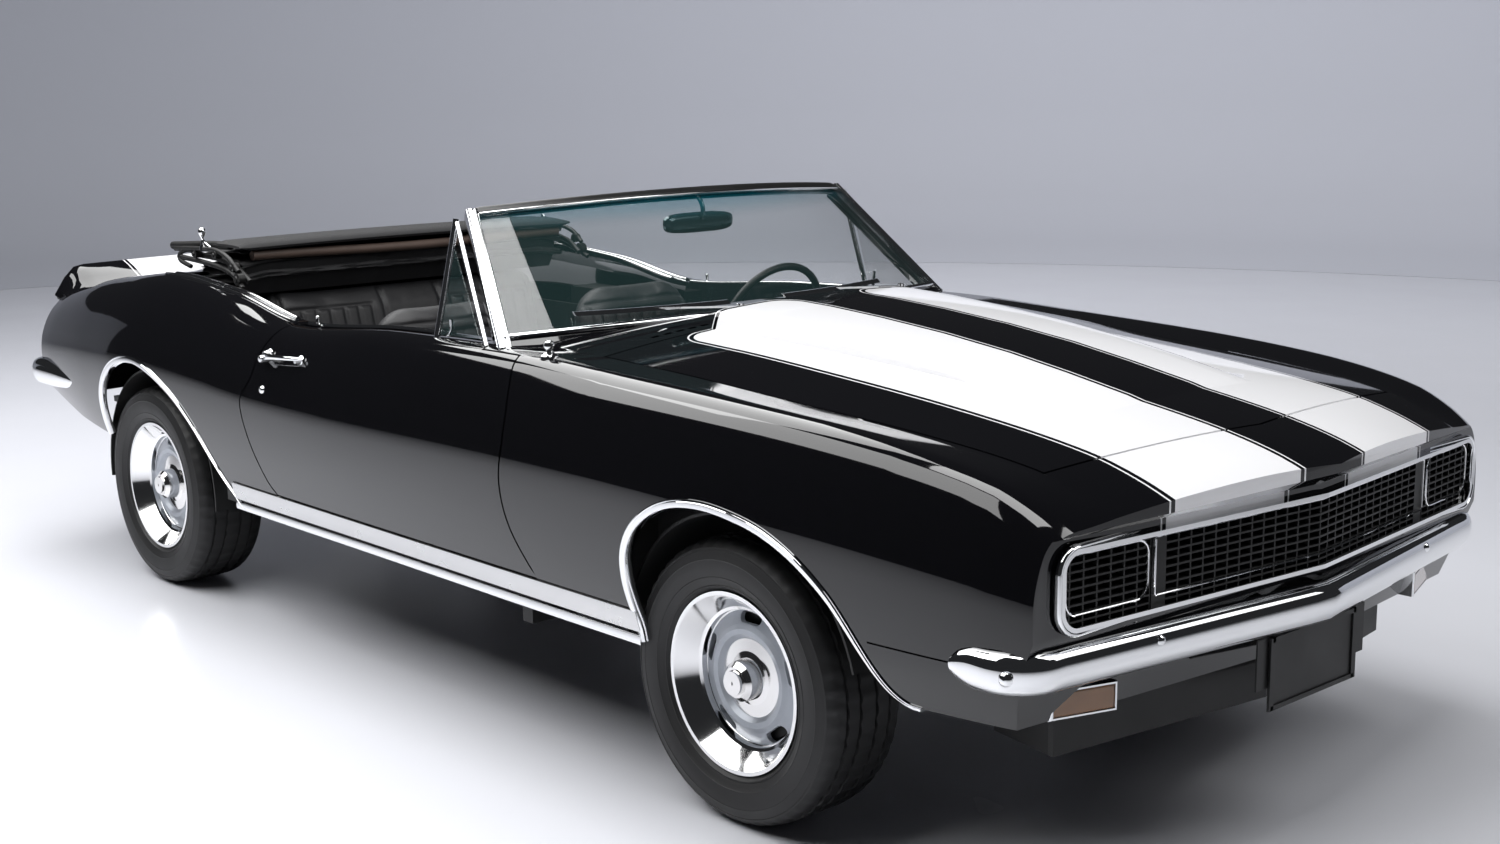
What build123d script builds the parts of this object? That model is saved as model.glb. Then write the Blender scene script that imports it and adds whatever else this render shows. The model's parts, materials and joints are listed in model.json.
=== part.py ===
"""A two-door convertible muscle car with its top folded down.

Millimetres; +X is forward, +Y is left and +Z is up. The origin is on the ground, under the
middle of the car. Stations named s_... are measured from the front axle, forward positive.
The body is one lofted mass; every outer panel is a 20 mm deep piece of its skin.
"""
from build123d import *
from math import atan2, cos, pi, radians, sin, tan
import os

# ---------------------------------------------------------------- driving dimensions
overall_length = 4690.0
front_overhang = 930.0
wheelbase = 2746.0
panel_depth = 20.0
wide = 1000.0
high = 1100.0
panel_low = 700.0
shut_gap = 6.0
seat_clearance = 0.3
bearing_clearance = 0.05

front_axle_x = overall_length / 2 - front_overhang
rear_axle_x = front_axle_x - wheelbase

tyre_radius = 318.0
tyre_width = 228.0
tyre_shoulder = 34.0
rim_radius = 190.0
rim_lip = 12.0
rim_width = 196.0
rim_barrel = 172.0
rim_wall = 6.0
wheel_centre_y = 748.0
wheel_bore = 31.0
slot_count = 5
slot_length = 66.0
slot_height = 25.0
slot_radius = 134.0

kingpin_y = 668.0
arm_low_z = 226.0
arm_high_z = 446.0
arm_sheet = 18.0
drum_radius = 140.0
drum_offset = 44.0
drum_width = 54.0

front_arch_radius = 374.0
front_arch_offset = 12.0
front_arch_z = 345.0
rear_arch_radius = 366.0
rear_arch_offset = 30.0
rear_arch_z = 365.0
arch_tangent = 38.0
arch_taper = 0.16
arch_front_angle = 24.0
arch_low = 250.0
tyre_room = 9.0
wheelhouse_y = 560.0

hood_front_s = 735.0
hood_front_slope = 0.105
hood_rear_s = -600.0
hood_half_front = 634.0
hood_half_rear = 700.0
scoop_half = 345.0
scoop_rise = 44.0

nose_tip_s = 927.0
nose_room_s = 960.0
nose_slope = 0.145
lip_height = 800.0
lip_depth = 34.0
valance_setback = 26.0
valance_lean = 160.0
grille_s = 886.0
grille_slope = 0.10
opening_half = 770.0
opening_top = 748.0
opening_low = 588.0
opening_corner = 46.0
lamp_split = 515.0
surround_width = 9.0
park_lamp_s = 790.0
park_lamp_y = 640.0
park_lamp_z = 420.0
park_lamp_width = 116.0
park_lamp_height = 52.0
spoiler_s = 775.0
spoiler_half = 612.0
spoiler_low = 278.0
spoiler_top = 400.0
spoiler_flange = 50.0
spoiler_sheet = 12.0
spoiler_return = 180.0
grille_rows = 10
grille_columns = 26
grille_post = 38.0
grille_bar = 4.0
grille_depth = 26.0
lamp_columns = 7
lamp_plate = 9.0
cover_rim = 6.0
trim_rise = 14.0
lamp_gap = 6.0
cap_radius = 44.0
cap_z = 700.0
handle_front_s = -1715.0
handle_rear_s = -1925.0
handle_z = 830.0
handle_reach = 30.0
lock_s = -1899.0
lock_z = 737.0

bumper_height = 88.0
bumper_depth = 36.0
bumper_z = 516.0
bumper_tip_s = 640.0
bumper_half = 872.0
bumper_slope = 0.139
rear_bumper_slope = 0.05
rear_bumper_z = 590.0

door_inner_y = 705.0
door_taper = 0.16
door_bottom = 432.0
pillar_pad_rear_s = -935.0
pillar_pad_half = 812.0
pillar_pad_z = 865.0

rocker_low = 346.0

floor_z = 300.0
floor_sheet = 22.0
floor_half = 780.0
tunnel_s = -1455.0
tunnel_length = 1500.0
firewall_s = -730.0
firewall_sheet = 20.0
firewall_top = 940.0
kick_up_s = -2060.0
boot_floor_z = 470.0
boot_sheet = 20.0
boot_half = 590.0
boot_rear_s = -3640.0
wall_sheet = 14.0
bulkhead_s = -2800.0
bulkhead_top = 960.0
rail_y = 405.0
rail_front_s = 690.0
sill_y = 820.0
JACK_PADS = (-900.0, -2000.0)
jack_y = 815.0
jack_z = 338.0
HINGE_LEAVES = (520.0, 780.0)
exhaust_s = -3060.0
exhaust_z = 340.0
pipe_radius = 26.0
rear_rail_y = 500.0
rear_rail_z = 396.0
leaf_thickness = 12.0
leaf_length = 1200.0
rail_width = 70.0
rail_height = 84.0
rail_z = 405.0
member_top = 265.0

deck_front_s = -2930.0
deck_rear_s = -3610.0
deck_half = 600.0
gutter_width = 16.0
tail_s = -3690.0
tail_slope = 0.06
tail_top = 905.0
tail_wide_z = 800.0
tail_low_z = 600.0
tail_panel_half = 690.0
tail_panel_top = 850.0

seat_y = 365.0
seat_width = 500.0

os.makedirs("parts", exist_ok=True)


# ---------------------------------------------------------------- small helpers
def at(s):
    """X of a station measured from the front axle."""
    return front_axle_x + s


def plan_prism(points, z_low, z_high):
    """A vertical prism on an outline of (x, y) points."""
    wire = Wire.make_polygon([Vector(x, y, z_low) for x, y in points])
    return extrude(Face(wire), amount=z_high - z_low, dir=(0, 0, 1))


def side_prism(points, y_low, y_high):
    """A prism across the car on an outline of (x, z) points."""
    wire = Wire.make_polygon([Vector(x, y_low, z) for x, z in points])
    return extrude(Face(wire), amount=y_high - y_low, dir=(0, 1, 0))


def block(x_low, x_high, y_low, y_high, z_low, z_high):
    """A rectangular block between its limits."""
    size = Box(x_high - x_low, y_high - y_low, z_high - z_low)
    centre = Pos((x_low + x_high) / 2, (y_low + y_high) / 2, (z_low + z_high) / 2)
    return centre * size


def across(x, z, radius, y_low, y_high):
    """A round bar across the car."""
    bar = Cylinder(radius, y_high - y_low)
    return Pos(x, (y_low + y_high) / 2, z) * Rot(90, 0, 0) * bar


def both_sides(shape):
    """A right-hand piece and its mirror image on the left."""
    return [shape, shape.mirror(Plane.XZ)]


def save(name, *shapes):
    """Write one sub-part, as a compound if it has several solids."""
    solids = [solid for shape in shapes for solid in shape.solids()]
    piece = solids[0] if len(solids) == 1 else Compound(children=solids)
    export_step(piece, f"parts/{name}.step")
    return piece


# ---------------------------------------------------------------- body sections
# Each row is one cross-section: its station, the height on the centreline, then (y, z) of
# the hood or deck edge, of the shoulder crease, of the widest line and of the lower edge.
SECTIONS = [
    (960, 800, 600, 726, 742, 700, 776, 608, 735, 400),
    (860, 838, 626, 778, 770, 742, 806, 620, 756, 396),
    (770, 862, 636, 818, 784, 808, 838, 628, 786, 394),
    (660, 884, 642, 852, 794, 858, 862, 636, 808, 392),
    (380, 926, 654, 886, 812, 904, 890, 650, 842, 390),
    (0, 966, 670, 912, 824, 928, 906, 660, 864, 388),
    (-400, 988, 690, 938, 828, 940, 913, 665, 872, 386),
    (-800, 996, 706, 952, 824, 952, 916, 660, 874, 385),
    (-1400, 985, 706, 938, 816, 940, 917, 655, 874, 385),
    (-1950, 960, 700, 902, 804, 904, 916, 672, 876, 386),
    (-2350, 985, 640, 962, 772, 958, 917, 690, 876, 390),
    (-2750, 1000, 612, 982, 748, 984, 914, 702, 866, 396),
    (-3150, 968, 606, 944, 736, 946, 893, 692, 842, 420),
    (-3500, 918, 600, 888, 722, 890, 854, 672, 806, 470),
    (-3760, 862, 590, 832, 702, 832, 808, 642, 768, 520),
]


def swell(y_edge, z_edge, y_wide, z_wide):
    """Mid-point of the arc that leaves an edge and ends upright at the widest line."""
    out, rise = y_wide - y_edge, z_edge - z_wide
    radius = (out ** 2 + rise ** 2) / (2 * out)
    half_angle = atan2(rise, radius - out) / 2
    return y_wide - radius + radius * cos(half_angle), z_wide + radius * sin(half_angle)


def section_wire(row, depth, low):
    """One closed cross-section, its skin moved in by `depth` and its bottom at most `low`."""
    station, z_centre, y_top, z_top, y_crease, z_crease, y_wide, z_wide, y_sill, z_sill = row
    x = at(station)
    z_centre, z_top, z_crease = z_centre - depth, z_top - depth, z_crease - depth
    y_crease, y_wide, y_sill = y_crease - depth, y_wide - depth, y_sill - depth
    y_high, z_high = swell(y_crease, z_crease, y_wide, z_wide)
    y_low, z_low = swell(y_sill, z_sill, y_wide, z_wide)
    half = [
        Edge.make_three_point_arc((x, y_crease, z_crease), (x, y_high, z_high), (x, y_wide, z_wide)),
        Edge.make_three_point_arc((x, y_wide, z_wide), (x, y_low, z_low), (x, y_sill, z_sill)),
    ]
    low = z_sill if low is None else low
    if low < z_sill:
        half.append(Edge.make_line((x, y_sill, z_sill), (x, y_sill, low)))
    half.append(Edge.make_line((x, y_top, z_top), (x, y_crease, z_crease)))
    other = [edge.mirror(Plane.XZ) for edge in half]
    crown = Edge.make_three_point_arc((x, y_top, z_top), (x, 0, z_centre), (x, -y_top, z_top))
    base_z = low
    base = Edge.make_line((x, y_sill, base_z), (x, -y_sill, base_z))
    return Wire(half + other + [crown, base])


def swept_ends(front, rear, front_slope, rear_slope):
    """Everything between two (x, z) edge lines, each swept back from the middle of the car."""
    half, middle = 960, 0
    sides = []
    for y in (half, -half):
        ahead = [Vector(x - front_slope * half, y, z) for x, z in front]
        behind = [Vector(x + rear_slope * half, y, z) for x, z in rear]
        outer = Wire.make_polygon(ahead + behind)
        inner = Wire.make_polygon([Vector(x, middle, z) for x, z in front + rear])
        sides.append(Solid.make_loft([inner, outer], ruled=True))
    return sides[0] + sides[1]


def body_loft(depth, low):
    """The whole body as one solid, without its wheel arches and openings."""
    loft = Solid.make_loft([section_wire(row, depth, low) for row in SECTIONS], ruled=True)
    tip, face = at(nose_tip_s) - depth, at(grille_s) - depth
    tail = at(tail_s) + depth
    lip = [(tip, 0), (tip, 1300)]
    recess = [(face - valance_setback - valance_lean, 0), (face - valance_setback, bumper_z),
              (face, opening_low - 8), (face, lip_height - lip_depth), (tip + 8, lip_height),
              (tip + 100, 1300)]
    tail_line = [(tail + 150, 1300), (tail + 45, tail_top), (tail, tail_wide_z), (tail, tail_low_z),
                 (tail + 70, 0)]
    body = loft & swept_ends(lip, tail_line, nose_slope, tail_slope)
    return body & swept_ends(recess, [(tail - 50, 1300), (tail - 50, 0)], grille_slope, 0)


def skin_height(s, y):
    """Height of the top skin between the hood or deck edges."""
    for ahead, behind in zip(SECTIONS, SECTIONS[1:]):
        if behind[0] <= s <= ahead[0]:
            share = (s - behind[0]) / (ahead[0] - behind[0])
            centre, edge_y, edge_z = (b + share * (a - b) for a, b in zip(ahead[1:4], behind[1:4]))
            return centre - (centre - edge_z) * (y / edge_y) ** 2
    raise ValueError(s)


# ---------------------------------------------------------------- outlines of the panels
def hood_outline(grow):
    """The hood seen from above, its edge moved out by `grow`."""
    rear = at(hood_rear_s) - grow
    tip = at(hood_front_s) + grow
    half_rear, half_front = hood_half_rear + grow, hood_half_front + grow
    corner = tip - hood_front_slope * half_front
    return [(rear, -half_rear), (corner, -half_front), (tip, 0), (corner, half_front), (rear, half_rear)]


def deck_outline(grow):
    """The boot lid seen from above, its edge moved out by `grow`."""
    front, rear, half = at(deck_front_s) + grow, at(deck_rear_s) - grow, deck_half + grow
    corner = rear + tail_slope * half
    return [(corner, -half), (front, -half), (front, half), (corner, half), (rear, 0)]


# The door's edge seen from the side, from the lower front corner round to the lower rear one.
DOOR_EDGE = [(-640, door_bottom), (-715, 545), (-744, 650), (-738, 767), (-752, 860), (-800, 990),
             (-1952, 990), (-1952, 905), (-1970, 830), (-1978, 758), (-2024, 690), (-1990, 582),
             (-1925, 474), (-1880, door_bottom)]


def door_prism(grow, inner_y):
    """The right-hand door's space, from its inner face outwards; its rear face tapers inwards."""
    outline = Face(Wire.make_polygon([Vector(at(s), -1000, z) for s, z in DOOR_EDGE]))
    if grow:
        outline = offset(outline, amount=grow, kind=Kind.INTERSECTION)
    prism = extrude(outline, amount=1000 - inner_y, dir=(0, 1, 0))
    skin_y, rear, reach = 915, at(-2100) - grow, 300
    shift = at(DOOR_EDGE[6][0]) - grow - rear
    keep = [(rear, -1000), (rear, -skin_y), (rear + shift + reach * door_taper, -skin_y + reach),
            (at(-500), -skin_y + reach), (at(-500), -1000)]
    step = grow - shut_gap / 2
    notch = block(at(pillar_pad_rear_s) + step, at(hood_rear_s), step - pillar_pad_half, 0,
                  pillar_pad_z + step, high)
    return (prism & plan_prism(keep, 300, 1100)) - notch


def arch_outline(axle_x, radius, offset_x, centre_z, grow):
    """A wheel opening: a round top, a straight run down to the sill behind, a taper in front."""
    x, r, tilt = axle_x + offset_x, radius + grow, radians(90 - arch_tangent)
    lead = radians(arch_front_angle)
    start, top = Vector(x - r * cos(lead), 0, centre_z + r * sin(lead)), Vector(x, 0, centre_z + r)
    end = Vector(x + r * cos(tilt), 0, centre_z + r * sin(tilt))
    run = (end.Z - arch_low) / tan(radians(arch_tangent))
    low_front = Vector(end.X + run, 0, arch_low)
    low_rear = Vector(start.X + arch_taper * (start.Z - arch_low), 0, arch_low)
    edges = [Edge.make_three_point_arc(start, top, end), Edge.make_line(end, low_front),
             Edge.make_line(low_front, low_rear), Edge.make_line(low_rear, start)]
    return Wire(edges)


def arch_prism(axle_x, radius, offset_x, centre_z, grow, y_inner):
    """The right-hand wheel opening cut through the side of the body."""
    wire = arch_outline(axle_x, radius, offset_x, centre_z, grow)
    return extrude(Face(wire), amount=1000 - y_inner, dir=(0, -1, 0)).moved(Location((0, -y_inner, 0)))


def front_arch(grow, y_inner=wheelhouse_y):
    """The right-hand front wheel opening."""
    return arch_prism(front_axle_x, front_arch_radius, front_arch_offset, front_arch_z, grow, y_inner)


def rear_arch(grow, y_inner=wheelhouse_y):
    """The right-hand rear wheel opening."""
    return arch_prism(rear_axle_x, rear_arch_radius, rear_arch_offset, rear_arch_z, grow, y_inner)


def opening_prism(grow, s_low, s_high):
    """The rounded grille opening, cut through the nose along X."""
    half, low, high = opening_half + grow, opening_low - grow, opening_top + grow
    plane = Plane((at(s_low), 0, (low + high) / 2), x_dir=(0, 1, 0), z_dir=(1, 0, 0))
    outline = plane * RectangleRounded(2 * half, high - low, opening_corner + grow)
    return extrude(outline, amount=s_high - s_low, dir=(1, 0, 0))


def vee_slab(s_tip, slope, thickness, half, z_low, z_high):
    """A slab across the nose, swept back from its middle on both sides."""
    tip, edge = at(s_tip), at(s_tip) - slope * half
    points = [(tip, 0), (edge, half), (edge - thickness, half), (tip - thickness, 0),
              (edge - thickness, -half), (edge, -half)]
    return plan_prism(points, z_low, z_high)


# ---------------------------------------------------------------- outer panels
SKIN = body_loft(0, None)
CORE = body_loft(panel_depth, 150)
SHELL = SKIN - CORE
PROUD = body_loft(-trim_rise, None)
HOOD_HOLE = plan_prism(hood_outline(shut_gap / 2), panel_low, high)
DECK_HOLE = plan_prism(deck_outline(shut_gap / 2), panel_low, high)
DOOR_HOLES = both_sides(door_prism(shut_gap / 2, 500))
ARCHES = both_sides(front_arch(0)) + both_sides(rear_arch(0))

cowl_front_s, cowl_rear_s, cowl_half = hood_rear_s - shut_gap / 2, -860.0, hood_half_rear + shut_gap / 2
valance_top, valance_rear_s, nose_drop = 515.0, 430.0, 60.0
cabin_half, cabin_front_s = 702.0, -850.0


def cabin_hole():
    """The open cabin between the cowl and the deck, seen from above."""
    return block(at(bulkhead_s), at(cabin_front_s), -cabin_half, cabin_half, 600, high)


def cowl_zone():
    """The space of the cowl panel: the strip ahead of the windscreen and the pads of its pillars."""
    strip = block(at(cowl_rear_s), at(cowl_front_s), -cowl_half, cowl_half, pillar_pad_z, high)
    pads = block(at(pillar_pad_rear_s), at(-790), -pillar_pad_half, pillar_pad_half, pillar_pad_z, high)
    return strip + pads


def wheel_room(axle_x):
    """The space that a right-hand tyre needs inside the skin of its wheel opening."""
    outer = wheel_centre_y + tyre_width / 2 + tyre_room
    return across(axle_x, tyre_radius, tyre_radius + tyre_room, -outer, -wheelhouse_y)


def front_fenders():
    """Both front fenders, from the door gap to the nose, over the wheel."""
    side = block(at(-830), at(nose_room_s), -wide, -(hood_half_front + shut_gap / 2), rocker_low, high)
    wing = (SHELL & side) - HOOD_HOLE - DOOR_HOLES[0] - ARCHES[0] - opening_prism(0, 600, 1000)
    wing -= block(at(valance_rear_s), at(nose_room_s), -wide, 0, 0, valance_top)
    wing -= block(at(-2000), at(DOOR_EDGE[0][0]), -wide, 0, 0, door_bottom - shut_gap / 2)
    wing -= cowl_zone()
    return both_sides(largest(wing - wheel_room(front_axle_x)))


def largest(shape):
    """The biggest solid of a cut, without stray slivers."""
    return max(shape.solids(), key=lambda solid: solid.volume)


def cowl_panel():
    """The vented panel between the hood and the windscreen."""
    panel = (SHELL & cowl_zone()) - block(at(-1000), at(cowl_rear_s), -cabin_half, cabin_half, 0, high)
    for y in range(-520, 500, 40):
        panel -= block(at(-650), at(-640), y, y + 26, 900, high)
    return largest(panel)


def nose_panel():
    """The panel between the hood's leading edge and the grille opening."""
    half = hood_half_front + shut_gap / 2
    top = SHELL & block(at(560), at(nose_room_s), -half, half, opening_top - nose_drop, high)
    return largest(top - HOOD_HOLE - opening_prism(0, 600, 1000))


def front_valance():
    """The panel under the front bumper, from wheel opening to wheel opening."""
    half = hood_half_front + shut_gap / 2
    zone = block(at(valance_rear_s), at(nose_room_s), -wide, wide, rocker_low, valance_top)
    strip = block(at(600), at(nose_room_s), -half, half, valance_top, opening_top - nose_drop)
    zone += strip - opening_prism(0, 500, 1000)
    return largest((SHELL & zone) - ARCHES[0] - ARCHES[1])


QUARTER_LOW = [(-2880, 200), (-2880, 435), (-2960, 440), (-3300, 470), (-3560, 520), (-3800, 540),
               (-3800, 200)]


def boot_gutter():
    """The rain gutter round the boot opening, which the lid's edge rests on."""
    thin = 5
    under = body_loft(panel_depth + thin, 150)
    wall = plan_prism(deck_outline(thin + shut_gap), panel_low, high) - DECK_HOLE
    ledge = DECK_HOLE - plan_prism(deck_outline(-gutter_width), panel_low, high)
    drop = Location((0, 0, -seat_clearance))
    return ((CORE - under) & wall) + ((CORE.moved(drop) - under.moved(drop)) & ledge)


def quarter_panels():
    """The rear body: both quarters, the deck round the boot lid and the strip behind the cabin."""
    rear = SHELL & block(at(tail_s), at(-1850), -wide, wide, rocker_low, high)
    for tool in [DECK_HOLE, cabin_hole(), *DOOR_HOLES, *ARCHES[2:]]:
        rear -= tool
    rear -= block(at(-2150), at(-1850), -wide, wide, 0, door_bottom - shut_gap / 2)
    rear -= tail_zone()
    rear -= side_prism([(at(s), z) for s, z in QUARTER_LOW], -wide, wide)
    rear += boot_gutter()
    for room in both_sides(wheel_room(rear_axle_x)):
        rear -= room
    return largest(rear)


def tail_zone():
    """The space of the panel across the tail, between the ends of the quarters."""
    reach = tail_slope * tail_panel_half + 2 * panel_depth
    return block(at(tail_s), at(tail_s) + reach, -tail_panel_half, tail_panel_half, 0, tail_panel_top)


def tail_panel():
    """The upright panel between the quarters, behind the boot."""
    return largest(SHELL & tail_zone())


def rocker_panels():
    """The sills under the doors, from wheel opening to wheel opening."""
    sill = SHELL & block(at(-2600), at(-150), -1000, -600, rocker_low, door_bottom - shut_gap / 2)
    sill &= block(at(-2150), at(-640), -1000, -600, 0, 1000)
    return both_sides(largest(sill - ARCHES[0] - ARCHES[2]))


SCOOP = [(-620, scoop_half, scoop_rise), (-250, 336, 36), (150, 322, 22), (480, 302, 6), (600, 292, -8)]


def scoop_loft(depth):
    """The raised middle of the hood; each row of SCOOP is a station, half-width and rise."""
    wires = []
    for s, half, rise in SCOOP:
        x, half, rise = at(s), half - depth, rise - depth
        edge, middle = skin_height(s, half) + rise, skin_height(s, 0) + rise
        foot_y, foot_z = half + 26, edge - 74
        side = Edge.make_line((x, foot_y, foot_z), (x, half, edge))
        top = Edge.make_three_point_arc((x, half, edge), (x, 0, middle), (x, -half, edge))
        base = Edge.make_line((x, -foot_y, foot_z), (x, foot_y, foot_z))
        wires.append(Wire([side, top, side.mirror(Plane.XZ), base]))
    return Solid.make_loft(wires, ruled=True)


def hood():
    """The hood with its raised middle, open towards the windscreen."""
    prism = plan_prism(hood_outline(-shut_gap / 2), panel_low, high)
    panel = (SHELL & prism) + ((scoop_loft(0) & prism) - CORE)
    return largest(panel - (scoop_loft(panel_depth * 0.6) - CORE))


def trunk_lid():
    """The boot lid."""
    return largest(SHELL & plan_prism(deck_outline(-shut_gap / 2), panel_low, high))


def rear_spoiler():
    """The spoiler on the boot lid; its tips reach out over the quarters, clear of them."""
    base_s, half = deck_rear_s + 20, 690
    wires = []
    for y, lift in ((-half, 11), (-deck_half - 4, 11), (4 - deck_half, -3), (0, -3), (deck_half - 4, -3),
                    (deck_half + 4, 11), (half, 11)):
        drop = -20 if abs(y) == half else 0
        foot = skin_height(base_s, min(abs(y), deck_half))
        slope = (skin_height(base_s + 80, 0) - skin_height(base_s, 0)) / 80
        points = [(base_s + 80, foot + 80 * slope + lift), (base_s + 10, foot + 44 + drop),
                  (base_s - 62, foot + 74 + drop), (base_s - 76, foot + 66 + drop),
                  (base_s - 72, foot + 42 + drop), (base_s - 10, foot + lift)]
        wires.append(Wire.make_polygon([Vector(at(s), y, z) for s, z in points]))
    return Solid.make_loft(wires, ruled=True) - SKIN


def door():
    """The right-hand door: an outer skin, an inner face, a hollow between and the window slot."""
    whole = SKIN & door_prism(-shut_gap / 2, door_inner_y)
    hollow = CORE & door_prism(-shut_gap / 2 - panel_depth, door_inner_y + panel_depth)
    slot = block(at(-1930), at(-1230), -786, -764, 850, 1000)
    return largest(whole - hollow - slot)


VENT = [(-950, 796, 946), (-1184, 788, 937), (-1192, 716, 1206)]
vent_bar, vent_depth = 15.0, 14.0


def vent_face(shrink):
    """The triangle of the quarter light, its edge moved in by `shrink`."""
    points = [Vector(at(s), -y, z) for s, y, z in VENT]
    face = Face(Wire.make_polygon(points))
    return offset(face, amount=-shrink, kind=Kind.INTERSECTION) if shrink else face


def vent_frame():
    """The bright frame of the right-hand quarter light, standing on the door."""
    outer, inner = vent_face(0), vent_face(vent_bar)
    ring = extrude(outer, amount=vent_depth / 2, both=True) - extrude(inner, amount=vent_depth, both=True)
    return largest(ring - SKIN)


def vent_glass():
    """The pane of the right-hand quarter light."""
    return extrude(vent_face(vent_bar + seat_clearance), amount=2.5, both=True)


# ---------------------------------------------------------------- windscreen
SCREEN_LOW, SCREEN_LOW_MIDDLE = (-864, 809, 930), (-690, 0, 950)
SCREEN_HIGH, SCREEN_HIGH_MIDDLE = (-1210, 668, 1272), (-1082, 0, 1300)
pillar_depth, pillar_width, header_width, screen_foot = 30.0, 24.0, 36.0, 62.0
glass_inset, glass_thickness = 8.0, 6.0


def screen_slab(front, back, side, low, high):
    """A curved slab along the windscreen, its faces, sides and ends moved in by these amounts."""
    wires = []
    rows = (SCREEN_LOW, SCREEN_LOW_MIDDLE, low), (SCREEN_HIGH, SCREEN_HIGH_MIDDLE, -high)
    for corner, middle, rise in rows:
        lean = rise * (SCREEN_HIGH[0] - SCREEN_LOW[0]) / (SCREEN_HIGH[2] - SCREEN_LOW[2])
        inset = rise * (SCREEN_HIGH[1] - SCREEN_LOW[1]) / (SCREEN_HIGH[2] - SCREEN_LOW[2])
        x, y, z = at(corner[0]) + lean, corner[1] + inset - side, corner[2] + rise
        centre = Vector(at(middle[0]) + lean, 0, middle[2] + rise)
        inwards = (Vector(x, 0, z) - centre).normalized()
        right, left = Vector(x, -y, z), Vector(x, y, z)
        corners = [end + inwards * shift for shift in (front, back) for end in (right, left)]
        face = Edge.make_three_point_arc(corners[0], centre + inwards * front, corners[1])
        rear = Edge.make_three_point_arc(corners[3], centre + inwards * back, corners[2])
        ends = [Edge.make_line(corners[1], corners[3]), Edge.make_line(corners[2], corners[0])]
        wires.append(Wire([face, ends[0], rear, ends[1]]))
    return Solid.make_loft(wires, ruled=True)


def windscreen_frame():
    """The pillars and header round the windscreen, standing on the cowl."""
    frame = screen_slab(0, pillar_depth, 0, 0, 0)
    frame -= screen_slab(-10, pillar_depth + 10, pillar_width, screen_foot, header_width)
    return largest(frame - SKIN)


def windscreen_glass():
    """The curved pane, held in the frame's opening."""
    edges = [width + seat_clearance for width in (pillar_width, screen_foot, header_width)]
    return screen_slab(glass_inset, glass_inset + glass_thickness, *edges)


# ---------------------------------------------------------------- nose and tail fittings
# Heights and bulges of the blade's front, as shares of its height and depth.
BLADE = [(-0.5, 0), (-0.25, 0.82), (0, 1), (0.25, 0.82), (0.5, 0)]


def blade_bumper(tip_s, side_s, slope, half, corner, z_middle, facing):
    """A blade bumper: a crowned bar along the nose or tail, wrapped round both corners."""
    tip = at(tip_s)
    bend_x = tip - facing * (slope * (half - corner) + corner)
    stations = [(at(side_s), half, 1.0, 0.0)]
    for step in range(1, 6):
        angle = step * pi / 12
        stations.append((bend_x + facing * corner * sin(angle), half - corner * (1 - cos(angle)),
                         cos(angle), facing * sin(angle)))
    stations.append((tip - facing * slope * (half - corner), half - corner, 0.06, facing))
    stations.append((tip, 0, 0, facing))
    wires = []
    for x, y, out_y, out_x in stations:
        points = []
        for rise, bulge in BLADE:
            reach = bumper_depth * (bulge - 1)
            points.append(Vector(x + out_x * reach, -(y + out_y * reach), z_middle + rise * bumper_height))
        wires.append(Wire.make_polygon(points))
    half_blade = Solid.make_loft(wires, ruled=True)
    return half_blade + half_blade.mirror(Plane.XZ)


def front_bumper():
    """The front bumper blade and its two brackets."""
    blade = blade_bumper(front_overhang, bumper_tip_s, bumper_slope, bumper_half, 120, bumper_z, 1)
    x = at(front_overhang - bumper_depth) - bumper_slope * rail_y
    bracket = block(x - 90, x + 6, -rail_y - 30, -rail_y + 30, bumper_z - 20, bumper_z + 20)
    return largest(blade + bracket + bracket.mirror(Plane.XZ) - SKIN)


def rear_bumper():
    """The rear bumper blade and its two brackets."""
    tip_s = front_overhang - overall_length
    blade = blade_bumper(tip_s, -3300, rear_bumper_slope, bumper_half, 110, rear_bumper_z, -1)
    x, z = at(tip_s + bumper_depth) + rear_bumper_slope * rear_rail_y, rear_bumper_z
    bracket = block(x - 6, x + 120, -rear_rail_y - 30, -rear_rail_y + 30, z - 20, z + 20)
    return largest(blade + bracket + bracket.mirror(Plane.XZ) - SKIN)


def crate(y_low, y_high, columns, post):
    """An egg-crate of oblong cells across the nose opening, drawn out along X, with plain end posts."""
    def oblong(y_start, y_end, z_start, z_end):
        corners = [(y_start, z_start), (y_end, z_start), (y_end, z_end), (y_start, z_end)]
        return Wire.make_polygon([Vector(at(600), y, z) for y, z in corners])
    pitch_y = (y_high - y_low - 2 * post) / columns
    pitch_z = (opening_top - opening_low) / grille_rows
    half_bar = grille_bar / 2
    cells = []
    for column in range(columns):
        y = y_low + post + column * pitch_y
        for row in range(grille_rows):
            z = opening_low + row * pitch_z
            cells.append(oblong(y + half_bar, y + pitch_y - half_bar, z + half_bar, z + pitch_z - half_bar))
    return extrude(Face(oblong(y_low, y_high, opening_low, opening_top), cells), amount=400, dir=(1, 0, 0))


def grille():
    """The open egg-crate of the grille, swept back from its middle, with a post at each end."""
    half = lamp_split - 4
    slab = vee_slab(grille_s, grille_slope, grille_depth, half, opening_low, opening_top)
    return largest(crate(-half, half, grille_columns, grille_post) & slab)


def headlamp_covers():
    """The covers over the headlamps: a closed plate that carries the grille's pattern on in its rim."""
    zone = block(at(600), at(1000), -opening_half, -lamp_split, 0, 1000) & opening_prism(-1, 600, 1000)
    front = grille_depth - lamp_plate
    size = (opening_half, opening_low, opening_top)
    face = vee_slab(grille_s, grille_slope, front, *size) & zone
    plate = vee_slab(grille_s - front, grille_slope, lamp_plate, *size) & zone
    cover = plate + (face & crate(-opening_half, -lamp_split, lamp_columns, 0))
    return both_sides(largest(cover + (face - opening_prism(-1 - cover_rim, 600, 1000))))


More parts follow.
